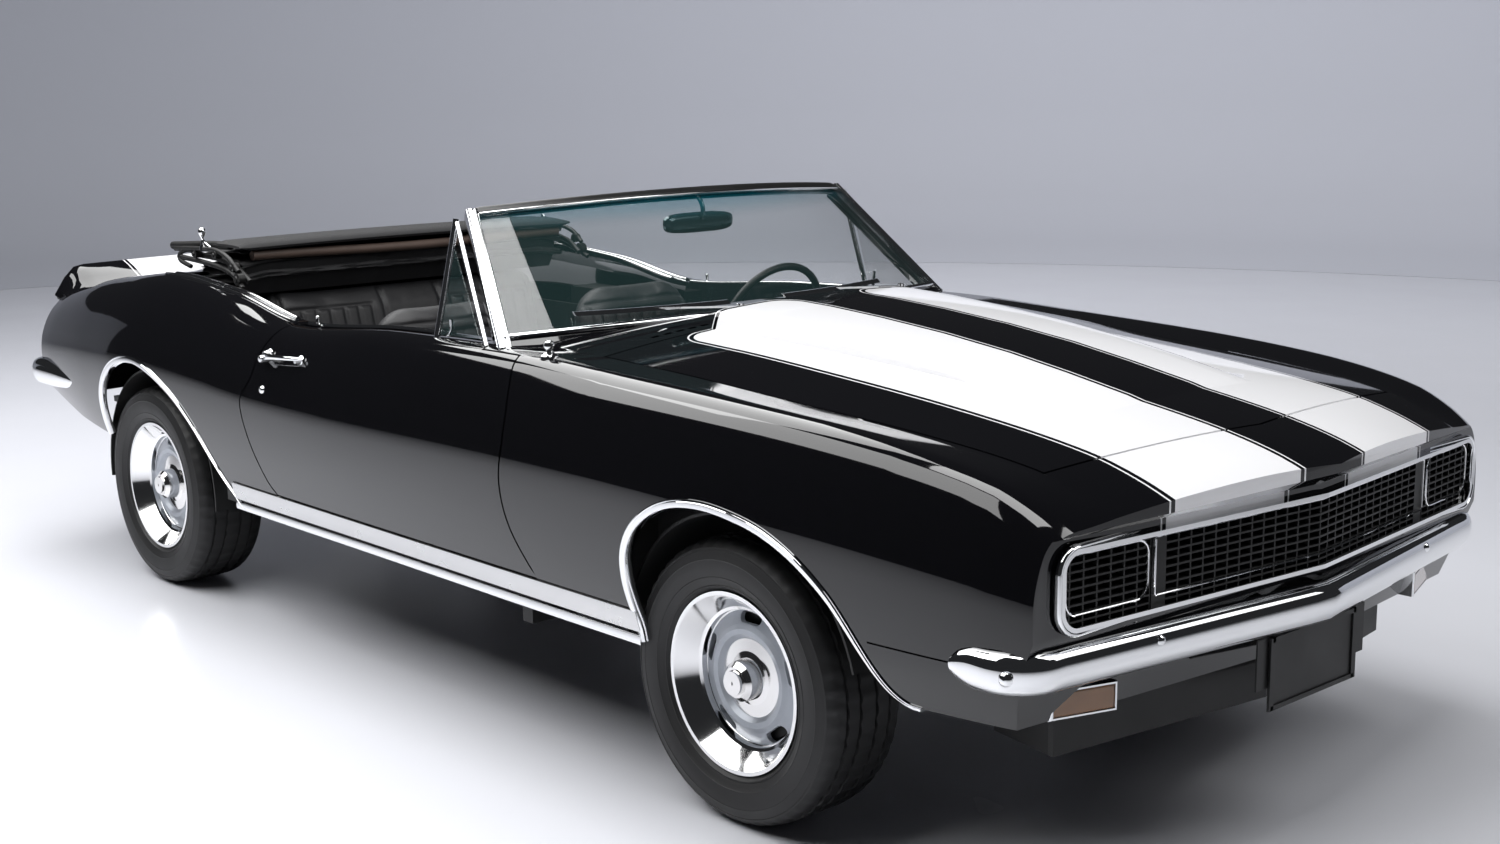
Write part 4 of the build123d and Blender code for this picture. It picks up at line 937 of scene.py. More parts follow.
# ------------------------------------------------------------------ painted panels
@dataclass
class Panels:
    """The painted outer panels, cut from the smooth form along their shut lines."""

    form: BodyForm
    sheet: float = 0.014
    nose_tip: float = 0.927
    nose_slope: float = 0.145
    grille_tip: float = 0.886
    grille_slope: float = 0.10
    bumper_z: float = 0.516
    lip_height: float = 0.800
    lip_depth: float = 0.034
    setback: float = 0.026
    lean: float = 0.160
    tail: float = -3.690
    tail_slope: float = 0.06
    tail_top: float = 0.905
    tail_wide: float = 0.800
    tail_low: float = 0.600
    rocker_low: float = 0.346
    door_bottom: float = 0.432
    hood_front: float = 0.735
    hood_slope: float = 0.105
    hood_rear: float = -0.600
    hood_half_front: float = 0.634
    hood_half_rear: float = 0.700
    deck_front: float = -2.930
    deck_rear: float = -3.610
    deck_half: float = 0.600
    opening_half: float = 0.770
    opening_low: float = 0.588
    opening_top: float = 0.748
    opening_corner: float = 0.046
    valance_top: float = 0.515
    valance_rear: float = 0.430
    pad_rear: float = -0.935
    pad_half: float = 0.812
    pad_z: float = 0.865
    tail_panel_half: float = 0.690
    tail_panel_top: float = 0.850
    cabin_half: float = 0.702

    def swept(self, front: Profile, rear: Profile, front_slope: float, rear_slope: float) -> Form:
        """Everything between two edge lines in X and Z, each swept back from the middle of the car."""
        half = 0.96
        loops = []
        for y in (-half, 0.0, half):
            ahead = [Vector((x - front_slope * abs(y), y, z)) for x, z in front]
            behind = [Vector((x + rear_slope * abs(y), y, z)) for x, z in rear]
            loops.append(ahead + behind)
        return loft(loops)

    def ends(self, depth: float) -> list[tuple[Cut, Form]]:
        """Cutters that give the body its nose, with a lip over the grille, and its tail."""
        tip, face = AXLE_X + self.nose_tip - depth, AXLE_X + self.grille_tip - depth
        tail = AXLE_X + self.tail + depth
        recess = [(face - self.setback - self.lean, 0.0), (face - self.setback, self.bumper_z),
                  (face, self.opening_low - 0.008), (face, self.lip_height - self.lip_depth),
                  (tip + 0.008, self.lip_height), (tip + 0.1, 1.3)]
        behind = [(tail + 0.15, 1.3), (tail + 0.045, self.tail_top), (tail, self.tail_wide),
                  (tail, self.tail_low), (tail + 0.07, 0.0)]
        rear = [(tail - 0.05, 1.3), (tail - 0.05, 0.0)]
        return [(Cut.KEEP, self.swept([(tip, 0.0), (tip, 1.3)], behind, self.nose_slope, self.tail_slope)),
                (Cut.KEEP, self.swept(recess, rear, self.grille_slope, 0.0))]

    def body(self, low: float, high: float, depth: float = 0.0, ended: bool = False) -> Form:
        """The closed body between two stations, moved in by a depth."""
        solid = self.form.solid(low, high, depth, 0.15 if depth else None)
        return carved(solid, self.ends(depth)) if ended else solid

    def block(self, s: Point, y: Point, z: Point) -> Form:
        """A block between stations, widths and heights."""
        return box((AXLE_X + s[0], y[0], z[0]), (AXLE_X + s[1], y[1], z[1]))

    def hood_outline(self, grow: float) -> list[Point]:
        """The hood seen from above, its edge moved out."""
        rear, tip = AXLE_X + self.hood_rear - grow, AXLE_X + self.hood_front + grow
        half_rear, half_front = self.hood_half_rear + grow, self.hood_half_front + grow
        corner = tip - self.hood_slope * half_front
        return [(rear, -half_rear), (corner, -half_front), (tip, 0.0), (corner, half_front),
                (rear, half_rear)]

    def deck_outline(self, grow: float) -> list[Point]:
        """The boot lid seen from above, its edge moved out."""
        front, rear = AXLE_X + self.deck_front + grow, AXLE_X + self.deck_rear - grow
        half = self.deck_half + grow
        corner = rear + self.tail_slope * half
        return [(corner, -half), (front, -half), (front, half), (corner, half), (rear, 0.0)]

    def door_outline(self, grow: float) -> list[Point]:
        """The right door seen from the side, its edge moved out: round corners and a wavy rear shut line."""
        edge = [(-0.640, 0.432), (-0.715, 0.545), (-0.744, 0.650), (-0.738, 0.767), (-0.752, 0.860),
                (-0.800, 0.990), (-1.952, 0.990), (-1.952, 0.905), (-1.970, 0.830), (-1.978, 0.758),
                (-2.024, 0.690), (-1.990, 0.582), (-1.925, 0.474), (-1.880, 0.432)]
        front = smooth_line([(s, 0.0, z) for s, z in edge[:6]], 5)
        rear = smooth_line([(s, 0.0, z) for s, z in edge[6:]], 5)
        line = [(p.x, p.z) for p in front + rear]
        middle = (-1.35, 0.70)
        moved = []
        for index, (s, z) in enumerate(line):
            before, after = line[index - 1], line[(index + 1) % len(line)]
            along = Vector((after[0] - before[0], after[1] - before[1])).normalized()
            normal = Vector((along.y, -along.x))
            if normal.dot(Vector((s - middle[0], z - middle[1]))) < 0:
                normal.negate()
            moved.append((AXLE_X + s + grow * normal.x, z + grow * normal.y))
        return moved

    def door_cutter(self, grow: float, side: Side, inner: float) -> Form:
        """A door's space, from its inner face outwards."""
        low, high = sorted((side.value * inner, side.value * 1.0))
        cutter = prism(self.door_outline(grow), "Y", low, high)
        step = grow - HALF_GAP
        reach = tuple(sorted((0.0, side.value * (self.pad_half - step))))
        notch = self.block((self.pad_rear + step, -0.600), reach, (self.pad_z + step, 1.1))
        return carved(cutter, [(Cut.REMOVE, notch)])

    def arch_line(self, rear: bool, grow: float = 0.0, pieces: int = 4) -> list[Point]:
        """The edge of a wheel opening in X and Z, from its rear foot over the top to its front foot."""
        places = REAR_ARCH if rear else FRONT_ARCH
        line = smooth_line([(AXLE_X + s, 0.0, z) for s, z in places], pieces)
        axle = REAR_AXLE_X if rear else AXLE_X
        moved = []
        for index, point in enumerate(line):
            along = line[min(index + 1, len(line) - 1)] - line[max(index - 1, 0)]
            normal = Vector((-along.z, 0.0, along.x)).normalized()
            if normal.dot(point - Vector((axle, 0.0, WHEEL_Z))) < 0:
                normal.negate()
            moved.append((point.x + grow * normal.x, point.z + grow * normal.z))
        return moved

    def arch_cutter(self, rear: bool, side: Side, grow: float = 0.0) -> Form:
        """A wheel opening cut through the side of the body."""
        low, high = sorted((side.value * 0.56, side.value * 1.0))
        return prism(self.arch_line(rear, grow), "Y", low, high)

    def opening_outline(self, grow: float, steps: int = 9) -> list[Point]:
        """The rounded grille opening in Y and Z."""
        half = self.opening_half + grow
        return rounded((-half, self.opening_low - grow), (half, self.opening_top + grow),
                       self.opening_corner + grow, steps)

    def opening_cutter(self, grow: float = 0.0) -> Form:
        """The grille opening cut through the nose."""
        return prism(self.opening_outline(grow), "X", AXLE_X + 0.5, AXLE_X + 1.0)

    def cowl_strip(self, rear: float) -> Form:
        """The space of the cowl's strip, forwards from a station."""
        half = self.hood_half_rear + HALF_GAP
        return self.block((rear, self.hood_rear - HALF_GAP), (-half, half), (self.pad_z, 1.1))

    def pillar_pads(self) -> Form:
        """The space of the pads under the windscreen pillars."""
        return self.block((self.pad_rear, -0.790), (-self.pad_half, self.pad_half), (self.pad_z, 1.1))

    def cowl_cutters(self) -> list[tuple[Cut, Form]]:
        """Cutters that clear the cowl's strip and the pads of the windscreen pillars."""
        return [(Cut.REMOVE, self.cowl_strip(-0.870)), (Cut.REMOVE, self.pillar_pads())]

    def tail_zone(self) -> Form:
        """The space of the upright panel between the quarters."""
        reach = self.tail_slope * self.tail_panel_half + 0.04
        half = self.tail_panel_half
        return self.block((self.tail - 0.01, self.tail + reach), (-half, half), (0.0, self.tail_panel_top))

    def hood_cutter(self) -> Form:
        """The hole that the hood fills."""
        return prism(self.hood_outline(HALF_GAP), "Z", 0.70, 1.10)

    def deck_cutter(self) -> Form:
        """The hole that the boot lid fills."""
        return prism(self.deck_outline(HALF_GAP), "Z", 0.70, 1.10)

    def fender(self) -> Form:
        """The right front fender."""
        wing = self.body(-0.84, 0.955, 0.0, True)
        inner = self.body(-0.86, 0.955, self.sheet, True)
        half = self.hood_half_front + HALF_GAP
        side = self.block((-0.830, 0.960), (-1.0, -half), (self.rocker_low, 1.0))
        return carved(wing, [
            (Cut.REMOVE, inner), (Cut.KEEP, side), (Cut.REMOVE, self.hood_cutter()),
            (Cut.REMOVE, self.door_cutter(HALF_GAP, Side.RIGHT, 0.5)),
            (Cut.REMOVE, self.arch_cutter(False, Side.RIGHT)), (Cut.REMOVE, self.opening_cutter()),
            (Cut.REMOVE, self.block((self.valance_rear, 0.96), (-1.0, 0.0), (0.0, self.valance_top))),
            (Cut.REMOVE, self.block((-2.0, -0.640), (-1.0, 0.0), (0.0, self.door_bottom - HALF_GAP))),
            *self.cowl_cutters()])

    def cowl(self) -> Form:
        """The vented panel between hood and windscreen, with the pads of the pillars."""
        panel = carved(self.body(-1.0, -0.58), [(Cut.REMOVE, self.body(-1.02, -0.56, self.sheet))])
        cabin = self.block((-1.0, -0.860), (-self.cabin_half, self.cabin_half), (0.0, 1.2))
        zone = carved(self.cowl_strip(-0.860), [(Cut.ADD, self.pillar_pads()), (Cut.REMOVE, cabin)])
        slots = [(Cut.REMOVE, self.block((-0.652, -0.638), (y, y + 0.026), (0.9, 1.1)))
                 for y in np.arange(-0.52, 0.50, 0.04)]
        return carved(panel, [(Cut.KEEP, zone), *slots])

    def nose(self) -> Form:
        """The panel between the hood's leading edge and the grille opening."""
        half = self.hood_half_front + HALF_GAP
        return carved(self.body(0.55, 0.955, 0.0, True), [
            (Cut.REMOVE, self.body(0.53, 0.955, self.sheet, True)),
            (Cut.KEEP, self.block((0.560, 0.96), (-half, half), (self.opening_top - 0.06, 1.0))),
            (Cut.REMOVE, self.hood_cutter()), (Cut.REMOVE, self.opening_cutter())])

    def valance(self) -> Form:
        """The panel under the grille and the front bumper, from wheel opening to wheel opening."""
        half = self.hood_half_front + HALF_GAP
        low = self.block((self.valance_rear, 0.96), (-1.0, 1.0), (self.rocker_low, self.valance_top - 0.004))
        middle = self.block((0.6, 0.96), (-half, half), (self.valance_top - 0.01, self.opening_top - 0.06))
        zone = carved(low, [(Cut.ADD, middle)])
        return carved(self.body(0.40, 0.955, 0.0, True), [
            (Cut.REMOVE, self.body(0.38, 0.955, self.sheet, True)), (Cut.KEEP, zone),
            (Cut.REMOVE, self.opening_cutter()), (Cut.REMOVE, self.arch_cutter(False, Side.RIGHT)),
            (Cut.REMOVE, self.arch_cutter(False, Side.LEFT))])

    def quarters(self) -> Form:
        """The rear body: both quarters, the deck round the boot lid and the strip behind the cabin."""
        low = [
            (-2.88, 0.20), (-2.88, 0.435), (-2.96, 0.44), (-3.30, 0.47), (-3.56, 0.52), (-3.80, 0.54),
            (-3.80, 0.20)]
        return carved(self.body(-3.75, -1.83, 0.0, True), [
            (Cut.REMOVE, self.body(-3.75, -1.80, self.sheet, True)),
            (Cut.KEEP, self.block((-3.8, -1.85), (-1.0, 1.0), (self.rocker_low, 1.1))),
            (Cut.REMOVE, self.deck_cutter()),
            (Cut.REMOVE, self.block((-2.80, -0.85), (-self.cabin_half, self.cabin_half), (0.6, 1.1))),
            (Cut.REMOVE, self.door_cutter(HALF_GAP, Side.RIGHT, 0.5)),
            (Cut.REMOVE, self.door_cutter(HALF_GAP, Side.LEFT, 0.5)),
            (Cut.REMOVE, self.arch_cutter(True, Side.RIGHT)), (Cut.REMOVE, self.arch_cutter(True, Side.LEFT)),
            (Cut.REMOVE, self.block((-2.15, -1.83), (-1.0, 1.0), (0.0, self.door_bottom - HALF_GAP))),
            (Cut.REMOVE, self.tail_zone()),
            (Cut.REMOVE, prism([(AXLE_X + s, z) for s, z in low], "Y", -1.0, 1.0))])

    def tail_panel(self) -> Form:
        """The upright panel between the quarters."""
        return carved(self.body(-3.75, -3.5, 0.0, True), [
            (Cut.REMOVE, self.body(-3.75, -3.48, self.sheet, True)), (Cut.KEEP, self.tail_zone())])

    def rocker(self) -> Form:
        """The right sill under the door."""
        zone = self.block((-2.15, -0.64), (-1.0, -0.6), (self.rocker_low, self.door_bottom - HALF_GAP))
        return carved(self.body(-2.20, -0.60), [
            (Cut.REMOVE, self.body(-2.22, -0.58, self.sheet)), (Cut.KEEP, zone),
            (Cut.REMOVE, self.arch_cutter(False, Side.RIGHT)),
            (Cut.REMOVE, self.arch_cutter(True, Side.RIGHT))])

    def door(self) -> Form:
        """The right door's outer skin, folded in at its edges and open along the top for the glass."""
        groove = self.block((-1.93, -1.0), (-0.765, -0.742), (0.88, 1.1))
        return carved(self.body(-2.06, -0.60), [
            (Cut.KEEP, self.door_cutter(-HALF_GAP, Side.RIGHT, 0.705)), (Cut.REMOVE, groove)])

    def scoop(self) -> Form:
        """The raised middle of the hood."""
        rows = [
            (-0.620, 0.345, 0.044), (-0.420, 0.341, 0.041), (-0.250, 0.336, 0.036),
            (-0.050, 0.330, 0.030), (0.150, 0.322, 0.022), (0.320, 0.312, 0.013), (0.480, 0.302, 0.004),
            (0.600, 0.292, -0.008)]
        loops = []
        for s, half, rise in rows:
            edge, middle = self.form.top_z(s, half) + rise, self.form.top_z(s, 0) + rise
            foot = [(half + 0.034, edge - 0.09), (half + 0.020, edge - 0.040), (half + 0.012, edge - 0.017),
                    (half + 0.006, edge - 0.006), (half - 0.004, edge - 0.0015)]
            crown = [(y, middle - (middle - edge) * (y / half) ** 2) for y in np.linspace(half * 0.94, 0, 9)]
            right = foot + crown
            whole = [(-y, z) for y, z in right] + right[-2::-1]
            loops.append([Vector((AXLE_X + s, y, z)) for y, z in whole])
        return loft(loops)

    def hood(self) -> Form:
        """The hood with its raised middle, open towards the windscreen."""
        return carved(self.body(-0.62, 0.80), [
            (Cut.ADD, self.scoop()), (Cut.REMOVE, self.body(-0.64, 0.82, self.sheet)),
            (Cut.KEEP, prism(self.hood_outline(-HALF_GAP), "Z", 0.70, 1.10))])

    def boot_lid(self) -> Form:
        """The boot lid."""
        return carved(self.body(-3.66, -2.90), [
            (Cut.REMOVE, self.body(-3.68, -2.88, self.sheet)),
            (Cut.KEEP, prism(self.deck_outline(-HALF_GAP), "Z", 0.70, 1.10))])

    def build(self, black: Material, striped: Material) -> None:
        """Make every panel, dress it and hang it on its body."""
        fender, rocker, door = self.fender(), self.rocker(), self.door()
        jobs = [
            ("fender_skins", both_sides(fender), black, "car", "front_fenders"),
            ("rocker_skins", both_sides(rocker), black, "car", "rocker_panels"),
            ("cowl_skin", self.cowl(), black, "car", "cowl_panel"),
            ("nose_skin", self.nose(), striped, "car", "nose_panel"),
            ("valance_skin", self.valance(), black, "car", "front_valance"),
            ("quarter_skins", self.quarters(), striped, "car", "quarter_panels"),
            ("tail_skin", self.tail_panel(), black, "car", "tail_panel"),
            ("hood_skin", self.hood(), striped, "hood", "hood"),
            ("boot_lid_skin", self.boot_lid(), striped, "boot_lid", "trunk_lid"),
        ]
        for name, bm, paint, body, node in jobs:
            finish_piece(name, bm, paint, body, node)
        for side, skin in ((Side.LEFT, mirrored(door)), (Side.RIGHT, door)):
            body = f"door_{side.label}"
            finish_piece(f"door_shell_{side.label}", skin, black, body, body)


def finish_piece(name: str, bm: Form, material: Material, body: str, node: Optional[str] = None,
                 sharp: float = 35.0) -> bpy.types.Object:
    """Make a piece, hang it on a body and hide the CAD node that it replaces.

    Args:
        name: The piece's name.
        bm: Its geometry; it is freed.
        material: Its finish.
        body: The body that it rides on.
        node: The CAD node that it replaces, if any.
        sharp: Edges that turn by more than this many degrees stay sharp.

    Returns:
        The piece.
    """
    piece = as_object(name, to_mesh(name, bm, sharp), material)
    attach(piece, body)
    if node:
        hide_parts(node)
    LOG.info("%s: %d faces", name, len(piece.data.polygons))
    return piece


# ------------------------------------------------------------------ bright mouldings
@dataclass
class Mouldings:
    """Bright strips along the panels: round the arches, under the doors, round the cabin and the grille."""

    form: BodyForm
    panels: Panels
    arch_width: float = 0.021
    arch_height: float = 0.005
    quarter_foot: float = 0.44
    valance_foot: float = 0.3805
    sill_rows: tuple = ((0.377, 0.431), (0.347, 0.371))
    sill_ends: Point = (-2.150, -0.272)
    belt_y: float = 0.722

    def arch(self, rear: bool) -> Form:
        """The moulding round one right-hand wheel opening: wide at the rear, finer towards its front foot."""
        line = self.panels.arch_line(rear)
        axle = REAR_AXLE_X if rear else AXLE_X
        low = self.panels.rocker_low + 0.002
        if rear:
            keep = [i for i, (x, z) in enumerate(line) if z > (low if x > axle else self.quarter_foot)]
        else:
            keep = [i for i, (x, z) in enumerate(line) if z > (low if x < axle else self.valance_foot)]
        loops = []
        for i in range(keep[0], keep[-1] + 1):
            share = (i - keep[0]) / (keep[-1] - keep[0])
            width = self.arch_width - 0.011 * max(0.0, min(1.0, (share - 0.5) * 2.2))
            (x, z), before, after = line[i], line[max(i - 1, 0)], line[min(i + 1, len(line) - 1)]
            along = Vector((after[0] - before[0], 0.0, after[1] - before[1])).normalized()
            across = Vector((-along.z, 0.0, along.x))
            if across.dot(Vector((x, 0.0, z)) - Vector((axle, 0.0, WHEEL_Z))) < 0:
                across.negate()
            ring = []
            for a, rise in ((-0.001, -0.016), (-0.001, 0.0), (0.0015, 0.004),
                            (0.30 * width, self.arch_height), (0.62 * width, self.arch_height),
                            (0.74 * width, 0.0022), (0.82 * width, 0.0035), (0.94 * width, 0.0030),
                            (width, -0.002)):
                spot = self.form.on_side(x + across.x * a, z + across.z * a)
                ring.append(spot + self.form.out_of(x, z) * rise)
            loops.append(ring)
        return loft(loops)

    def sill(self, low: float, high: float, proud: float) -> Form:
        """A long strip under the door, between two heights."""
        start, end = self.sill_ends
        loops = []
        for s in np.linspace(start, end, 36):
            x = AXLE_X + float(s)
            rows = [(low, -0.003), (low + 0.002, proud * 0.8), (low + 0.006, proud),
                    ((low + high) / 2, proud * 1.15),
                    (high - 0.006, proud), (high - 0.002, proud * 0.8), (high, -0.003)]
            loops.append([self.form.on_side(x, z) + Vector((0, -rise, 0)) for z, rise in rows])
        return loft(loops)

    def rail(self, places: Sequence[Place], width: float, height: float) -> Form:
        """A half-round strip on top of the body, through places of station and half width."""
        line = smooth_line(places, 8)
        points = [Vector((AXLE_X + p.x, -p.y, self.form.top_z(p.x, p.y) + 0.0005)) for p in line]
        return strip(points, [Vector((0, 0, 1))] * len(points), half_round(width, height, 0.004))

    def door_belt(self) -> Form:
        """The thin strip along the top of the right door, beside its glass."""
        stations = np.linspace(-1.945, -1.20, 22)
        points = [Vector((AXLE_X + s, -self.belt_y, self.form.top_z(float(s), self.belt_y) + 0.0005))
                  for s in stations]
        return strip(points, [Vector((0, 0, 1))] * len(points), half_round(0.012, 0.006, 0.004))

    def closed_strip(self, outline: Profile, ahead: float, profile: Profile) -> Form:
        """A closed strip along an outline in Y and Z, drawn back along the nose.

        Args:
            outline: The line that it follows.
            ahead: How far it lies ahead of the grille's face.
            profile: Its cross-section.

        Returns:
            The strip as a bmesh.
        """
        tip, out = AXLE_X + self.panels.grille_tip + ahead, Vector((1, 0, 0))
        path = [Vector((tip - self.panels.grille_slope * abs(y), y, z)) for y, z in outline]
        loops = []
        for index, point in enumerate(path):
            along = (path[(index + 1) % len(path)] - path[index - 1]).normalized()
            across = along.cross(out).normalized()
            loops.append([point + across * a + out * b for a, b in profile])
        return loft(loops + [loops[0]], caps=False)

    def around_opening(self, grow: float, width: float, height: float, ahead: float) -> Form:
        """A closed strip round the grille opening."""
        outline = self.panels.opening_outline(grow, 10)
        return self.closed_strip(outline, ahead, half_round(width, height, 0.006, 6))

    def face_trim(self, y_low: float, y_high: float, corner: float, ahead: float) -> Form:
        """A closed rounded strip on the grille's face, between two distances from the middle."""
        low, high = self.panels.opening_low + 0.030, self.panels.opening_top - 0.014
        spots = rounded((y_low, low), (y_high, high), corner, 7)
        if y_low < 0 < y_high:
            top = [s for s in spots if s[1] > (low + high) / 2]
            spots = top[:7] + [(0.0, high)] + top[7:] + spots[14:21] + [(0.0, low)] + spots[21:]
        return self.closed_strip(spots, ahead, half_round(0.0055, 0.004, 0.006, 5))

    def build(self, chrome: Material, satin: Material) -> None:
        """Make every moulding."""
        well = self.rail([(-2.03, 0.712), (-2.20, 0.712), (-2.50, 0.712), (-2.79, 0.712)], 0.016, 0.007)
        quarter_belt = self.rail([(-1.99, 0.742), (-2.20, 0.742), (-2.50, 0.738), (-2.84, 0.725)],
                                 0.010, 0.006)
        for name, bm, finish in (
                ("arch_moulding_front", self.arch(False), chrome),
                ("arch_moulding_rear", self.arch(True), chrome),
                ("sill_moulding", self.sill(*self.sill_rows[0], 0.006), satin),
                ("sill_edge_moulding", self.sill(*self.sill_rows[1], 0.004), chrome),
                ("well_moulding", well, chrome),
                ("quarter_belt_moulding", quarter_belt, chrome)):
            finish_piece(name, both_sides(bm), finish, "car", None)
        for side, bm in ((Side.LEFT, mirrored(self.door_belt())), (Side.RIGHT, self.door_belt())):
            finish_piece(f"door_belt_moulding_{side.label}", bm, chrome, f"door_{side.label}", None)
        outer = self.around_opening(0.004, 0.009, 0.006, 0.012)
        finish_piece("grille_outer_moulding", outer, chrome, "car", None)
        trims = [self.face_trim(*span, 0.002)
                 for span in ((-0.506, 0.506, 0.006), (-0.748, -0.526, 0.030), (0.526, 0.748, 0.030))]
        finish_piece("grille_inner_mouldings", joined(*trims), chrome, "car", None)


# ------------------------------------------------------------------ windscreen
@dataclass
class Windscreen:
    """The curved screen: bright pillars, a dark header with a bright lip, a base moulding and the pane."""

    low: tuple = (-0.864, 0.809, 0.930)
    low_middle: tuple = (-0.690, 0.0, 0.950)
    high: tuple = (-1.210, 0.668, 1.272)
    high_middle: tuple = (-1.082, 0.0, 1.300)
    foot: float = 0.125
    pillar: float = 0.026
    header: float = 0.034
    corner: float = 0.030
    depth: float = 0.030

    def point(self, across: float, up: float, inwards: float = 0.0) -> Vector:
        """A point of the screen.

        Args:
            across: From -1 at the right pillar to 1 at the left.
            up: From 0 at the foot to 1 at the top.
            inwards: How far it is moved in from the outer face.

        Returns:
            The point.
        """
        blend = [a + (b - a) * up for a, b in zip(self.low, self.high)]
        middle = [a + (b - a) * up for a, b in zip(self.low_middle, self.high_middle)]
        back = Vector((blend[0], 0.0, blend[2]))
        front = Vector((middle[0], 0.0, middle[2]))
        bow = (front - back).length
        ahead = (front - back) / bow
        radius = (blend[1] ** 2 + bow ** 2) / (2 * bow)
        widest = math.asin(blend[1] / radius)
        angle = across * widest
        centre = front - ahead * radius
        spot = centre + ahead * radius * math.cos(angle) + Vector((0, radius * math.sin(angle), 0))
        spot.x += AXLE_X
        return spot - self.normal(across, up) * inwards if inwards else spot

    def normal(self, across: float, up: float) -> Vector:
        """The outward direction of the screen."""
        step = 1e-3
        sideways = self.point(across + step, up) - self.point(across - step, up)
        upwards = self.point(across, up + step) - self.point(across, up - step)
        out = sideways.cross(upwards).normalized()
        return out if out.x > 0 else -out

    def edge_path(self, pillar: float, header: float) -> list[Point]:
        """A path up one pillar, over the header and down the other, set in by two distances."""
        side, top = 1.0 - pillar / SCREEN_HALF, 1.0 - header / SCREEN_TALL
        round_u, round_t = self.corner / SCREEN_HALF, self.corner / SCREEN_TALL
        path = [(-side, t) for t in np.linspace(0.03, top - round_t, 10)]
        path += [(-side + round_u * (1 - math.cos(a)), top - round_t + round_t * math.sin(a))
                 for a in np.linspace(0.2, math.pi / 2, 6)]
        path += [(u, top) for u in np.linspace(-side + round_u, 0.0, 18)][1:]
        return path + [(-u, t) for u, t in path[-2::-1]]

    def sweep(self, path: Sequence[Point], profile: Profile, inwards: float = 0.0) -> Form:
        """Sweep a cross-section along a path on the screen."""
        points = [self.point(u, t, inwards) for u, t in path]
        return strip(points, [self.normal(u, t) for u, t in path], profile)

    def frame(self) -> Form:
        """The header and the core of the pillars, rounded on the outside."""
        w, d = self.pillar / 2, self.depth
        profile = [(-w, -d + 0.002), (-w, -0.008), (-w + 0.003, -0.002), (-w + 0.008, 0.0), (w - 0.008, 0.0),
                   (w - 0.003, -0.002), (w, -0.008), (w, -d + 0.002)]
        return self.sweep(self.edge_path(w, self.header / 2), profile)

    def pillar_face(self) -> Form:
        """The bright casing of the right pillar: two rounded ribs in front, a plain side behind."""
        loops = []
        for t in np.linspace(0.05, 0.965, 20):
            out = self.normal(-1.0, float(t))
            side = (self.point(-1.0, float(t)) - self.point(-0.96, float(t))).normalized()
            base = self.point(-1.0, float(t))
            ring = [
                (-0.0290, -0.012), (-0.0285, 0.0030), (-0.0255, 0.0055), (-0.0215, 0.0058),
                (-0.0190, 0.0035), (-0.0175, 0.0010), (-0.0160, 0.0035), (-0.0120, 0.0068),
                (-0.0040, 0.0070), (0.0015, 0.0045), (0.0038, -0.0010), (0.0045, -0.0200),
                (0.0040, -0.0460), (-0.0040, -0.0480), (-0.0100, -0.0300)]
            loops.append([base + side * a + out * b for a, b in ring])
        return loft(loops)

    def lip(self) -> Form:
        """The fine bright lip along the front of the header."""
        top = 1.0 - (self.header - 0.001) / SCREEN_TALL
        path = [(u, top) for u in np.linspace(-0.955, 0.955, 44)]
        return self.sweep(path, half_round(0.0075, 0.005, 0.003))

    def apron(self) -> Form:
        """The painted foot under the pane."""
        corners = ((0.0, 0.004), (self.foot, 0.004), (self.foot, 0.020), (0.0, 0.020))
        return loft([[self.point(u, up, inwards) for up, inwards in corners]
                     for u in np.linspace(-0.995, 0.995, 40)])

    def pane(self) -> Form:
        """The pane, a closed curved sheet."""
        top = 1.0 - (self.header - 0.004) / SCREEN_TALL
        side = 1.0 - (self.pillar - 0.004) / SCREEN_HALF

        def place(row: int, column: int) -> Vector:
            up = self.foot - 0.006 + (top - self.foot) * column / 14
            return self.point(-side + 2 * side * row / 48, up, 0.009)

        bm = grid(49, 15, place)
        bmesh.ops.recalc_face_normals(bm, faces=bm.faces)
        bmesh.ops.solidify(bm, geom=bm.faces[:], thickness=0.005)
        outward(bm)
        return bm

    def build(self, chrome: Material, black: Material, header: Material,
              glass: Material) -> None:
        """Make the screen."""
        casing = both_sides(self.pillar_face())
        base = [(u, self.foot - 0.004) for u in np.linspace(-0.985, 0.985, 44)]
        base_strip = self.sweep(base, half_round(0.015, 0.006, 0.004))
        for name, bm, finish, node, slot in (
                ("windscreen_header_and_pillars", self.frame(), header, "windscreen_frame", "chrome"),
                ("windscreen_pillar_casings", casing, chrome, None, "chrome"),
                ("windscreen_header_lip", self.lip(), chrome, None, "chrome"),
                ("windscreen_base_moulding", base_strip, chrome, None, "chrome"),
                ("windscreen_apron", self.apron(), black, None, "black_paint"),
                ("windscreen_pane", self.pane(), glass, "windscreen_glass", "glass")):
            finish_piece(name, bm, finish, "car", node)


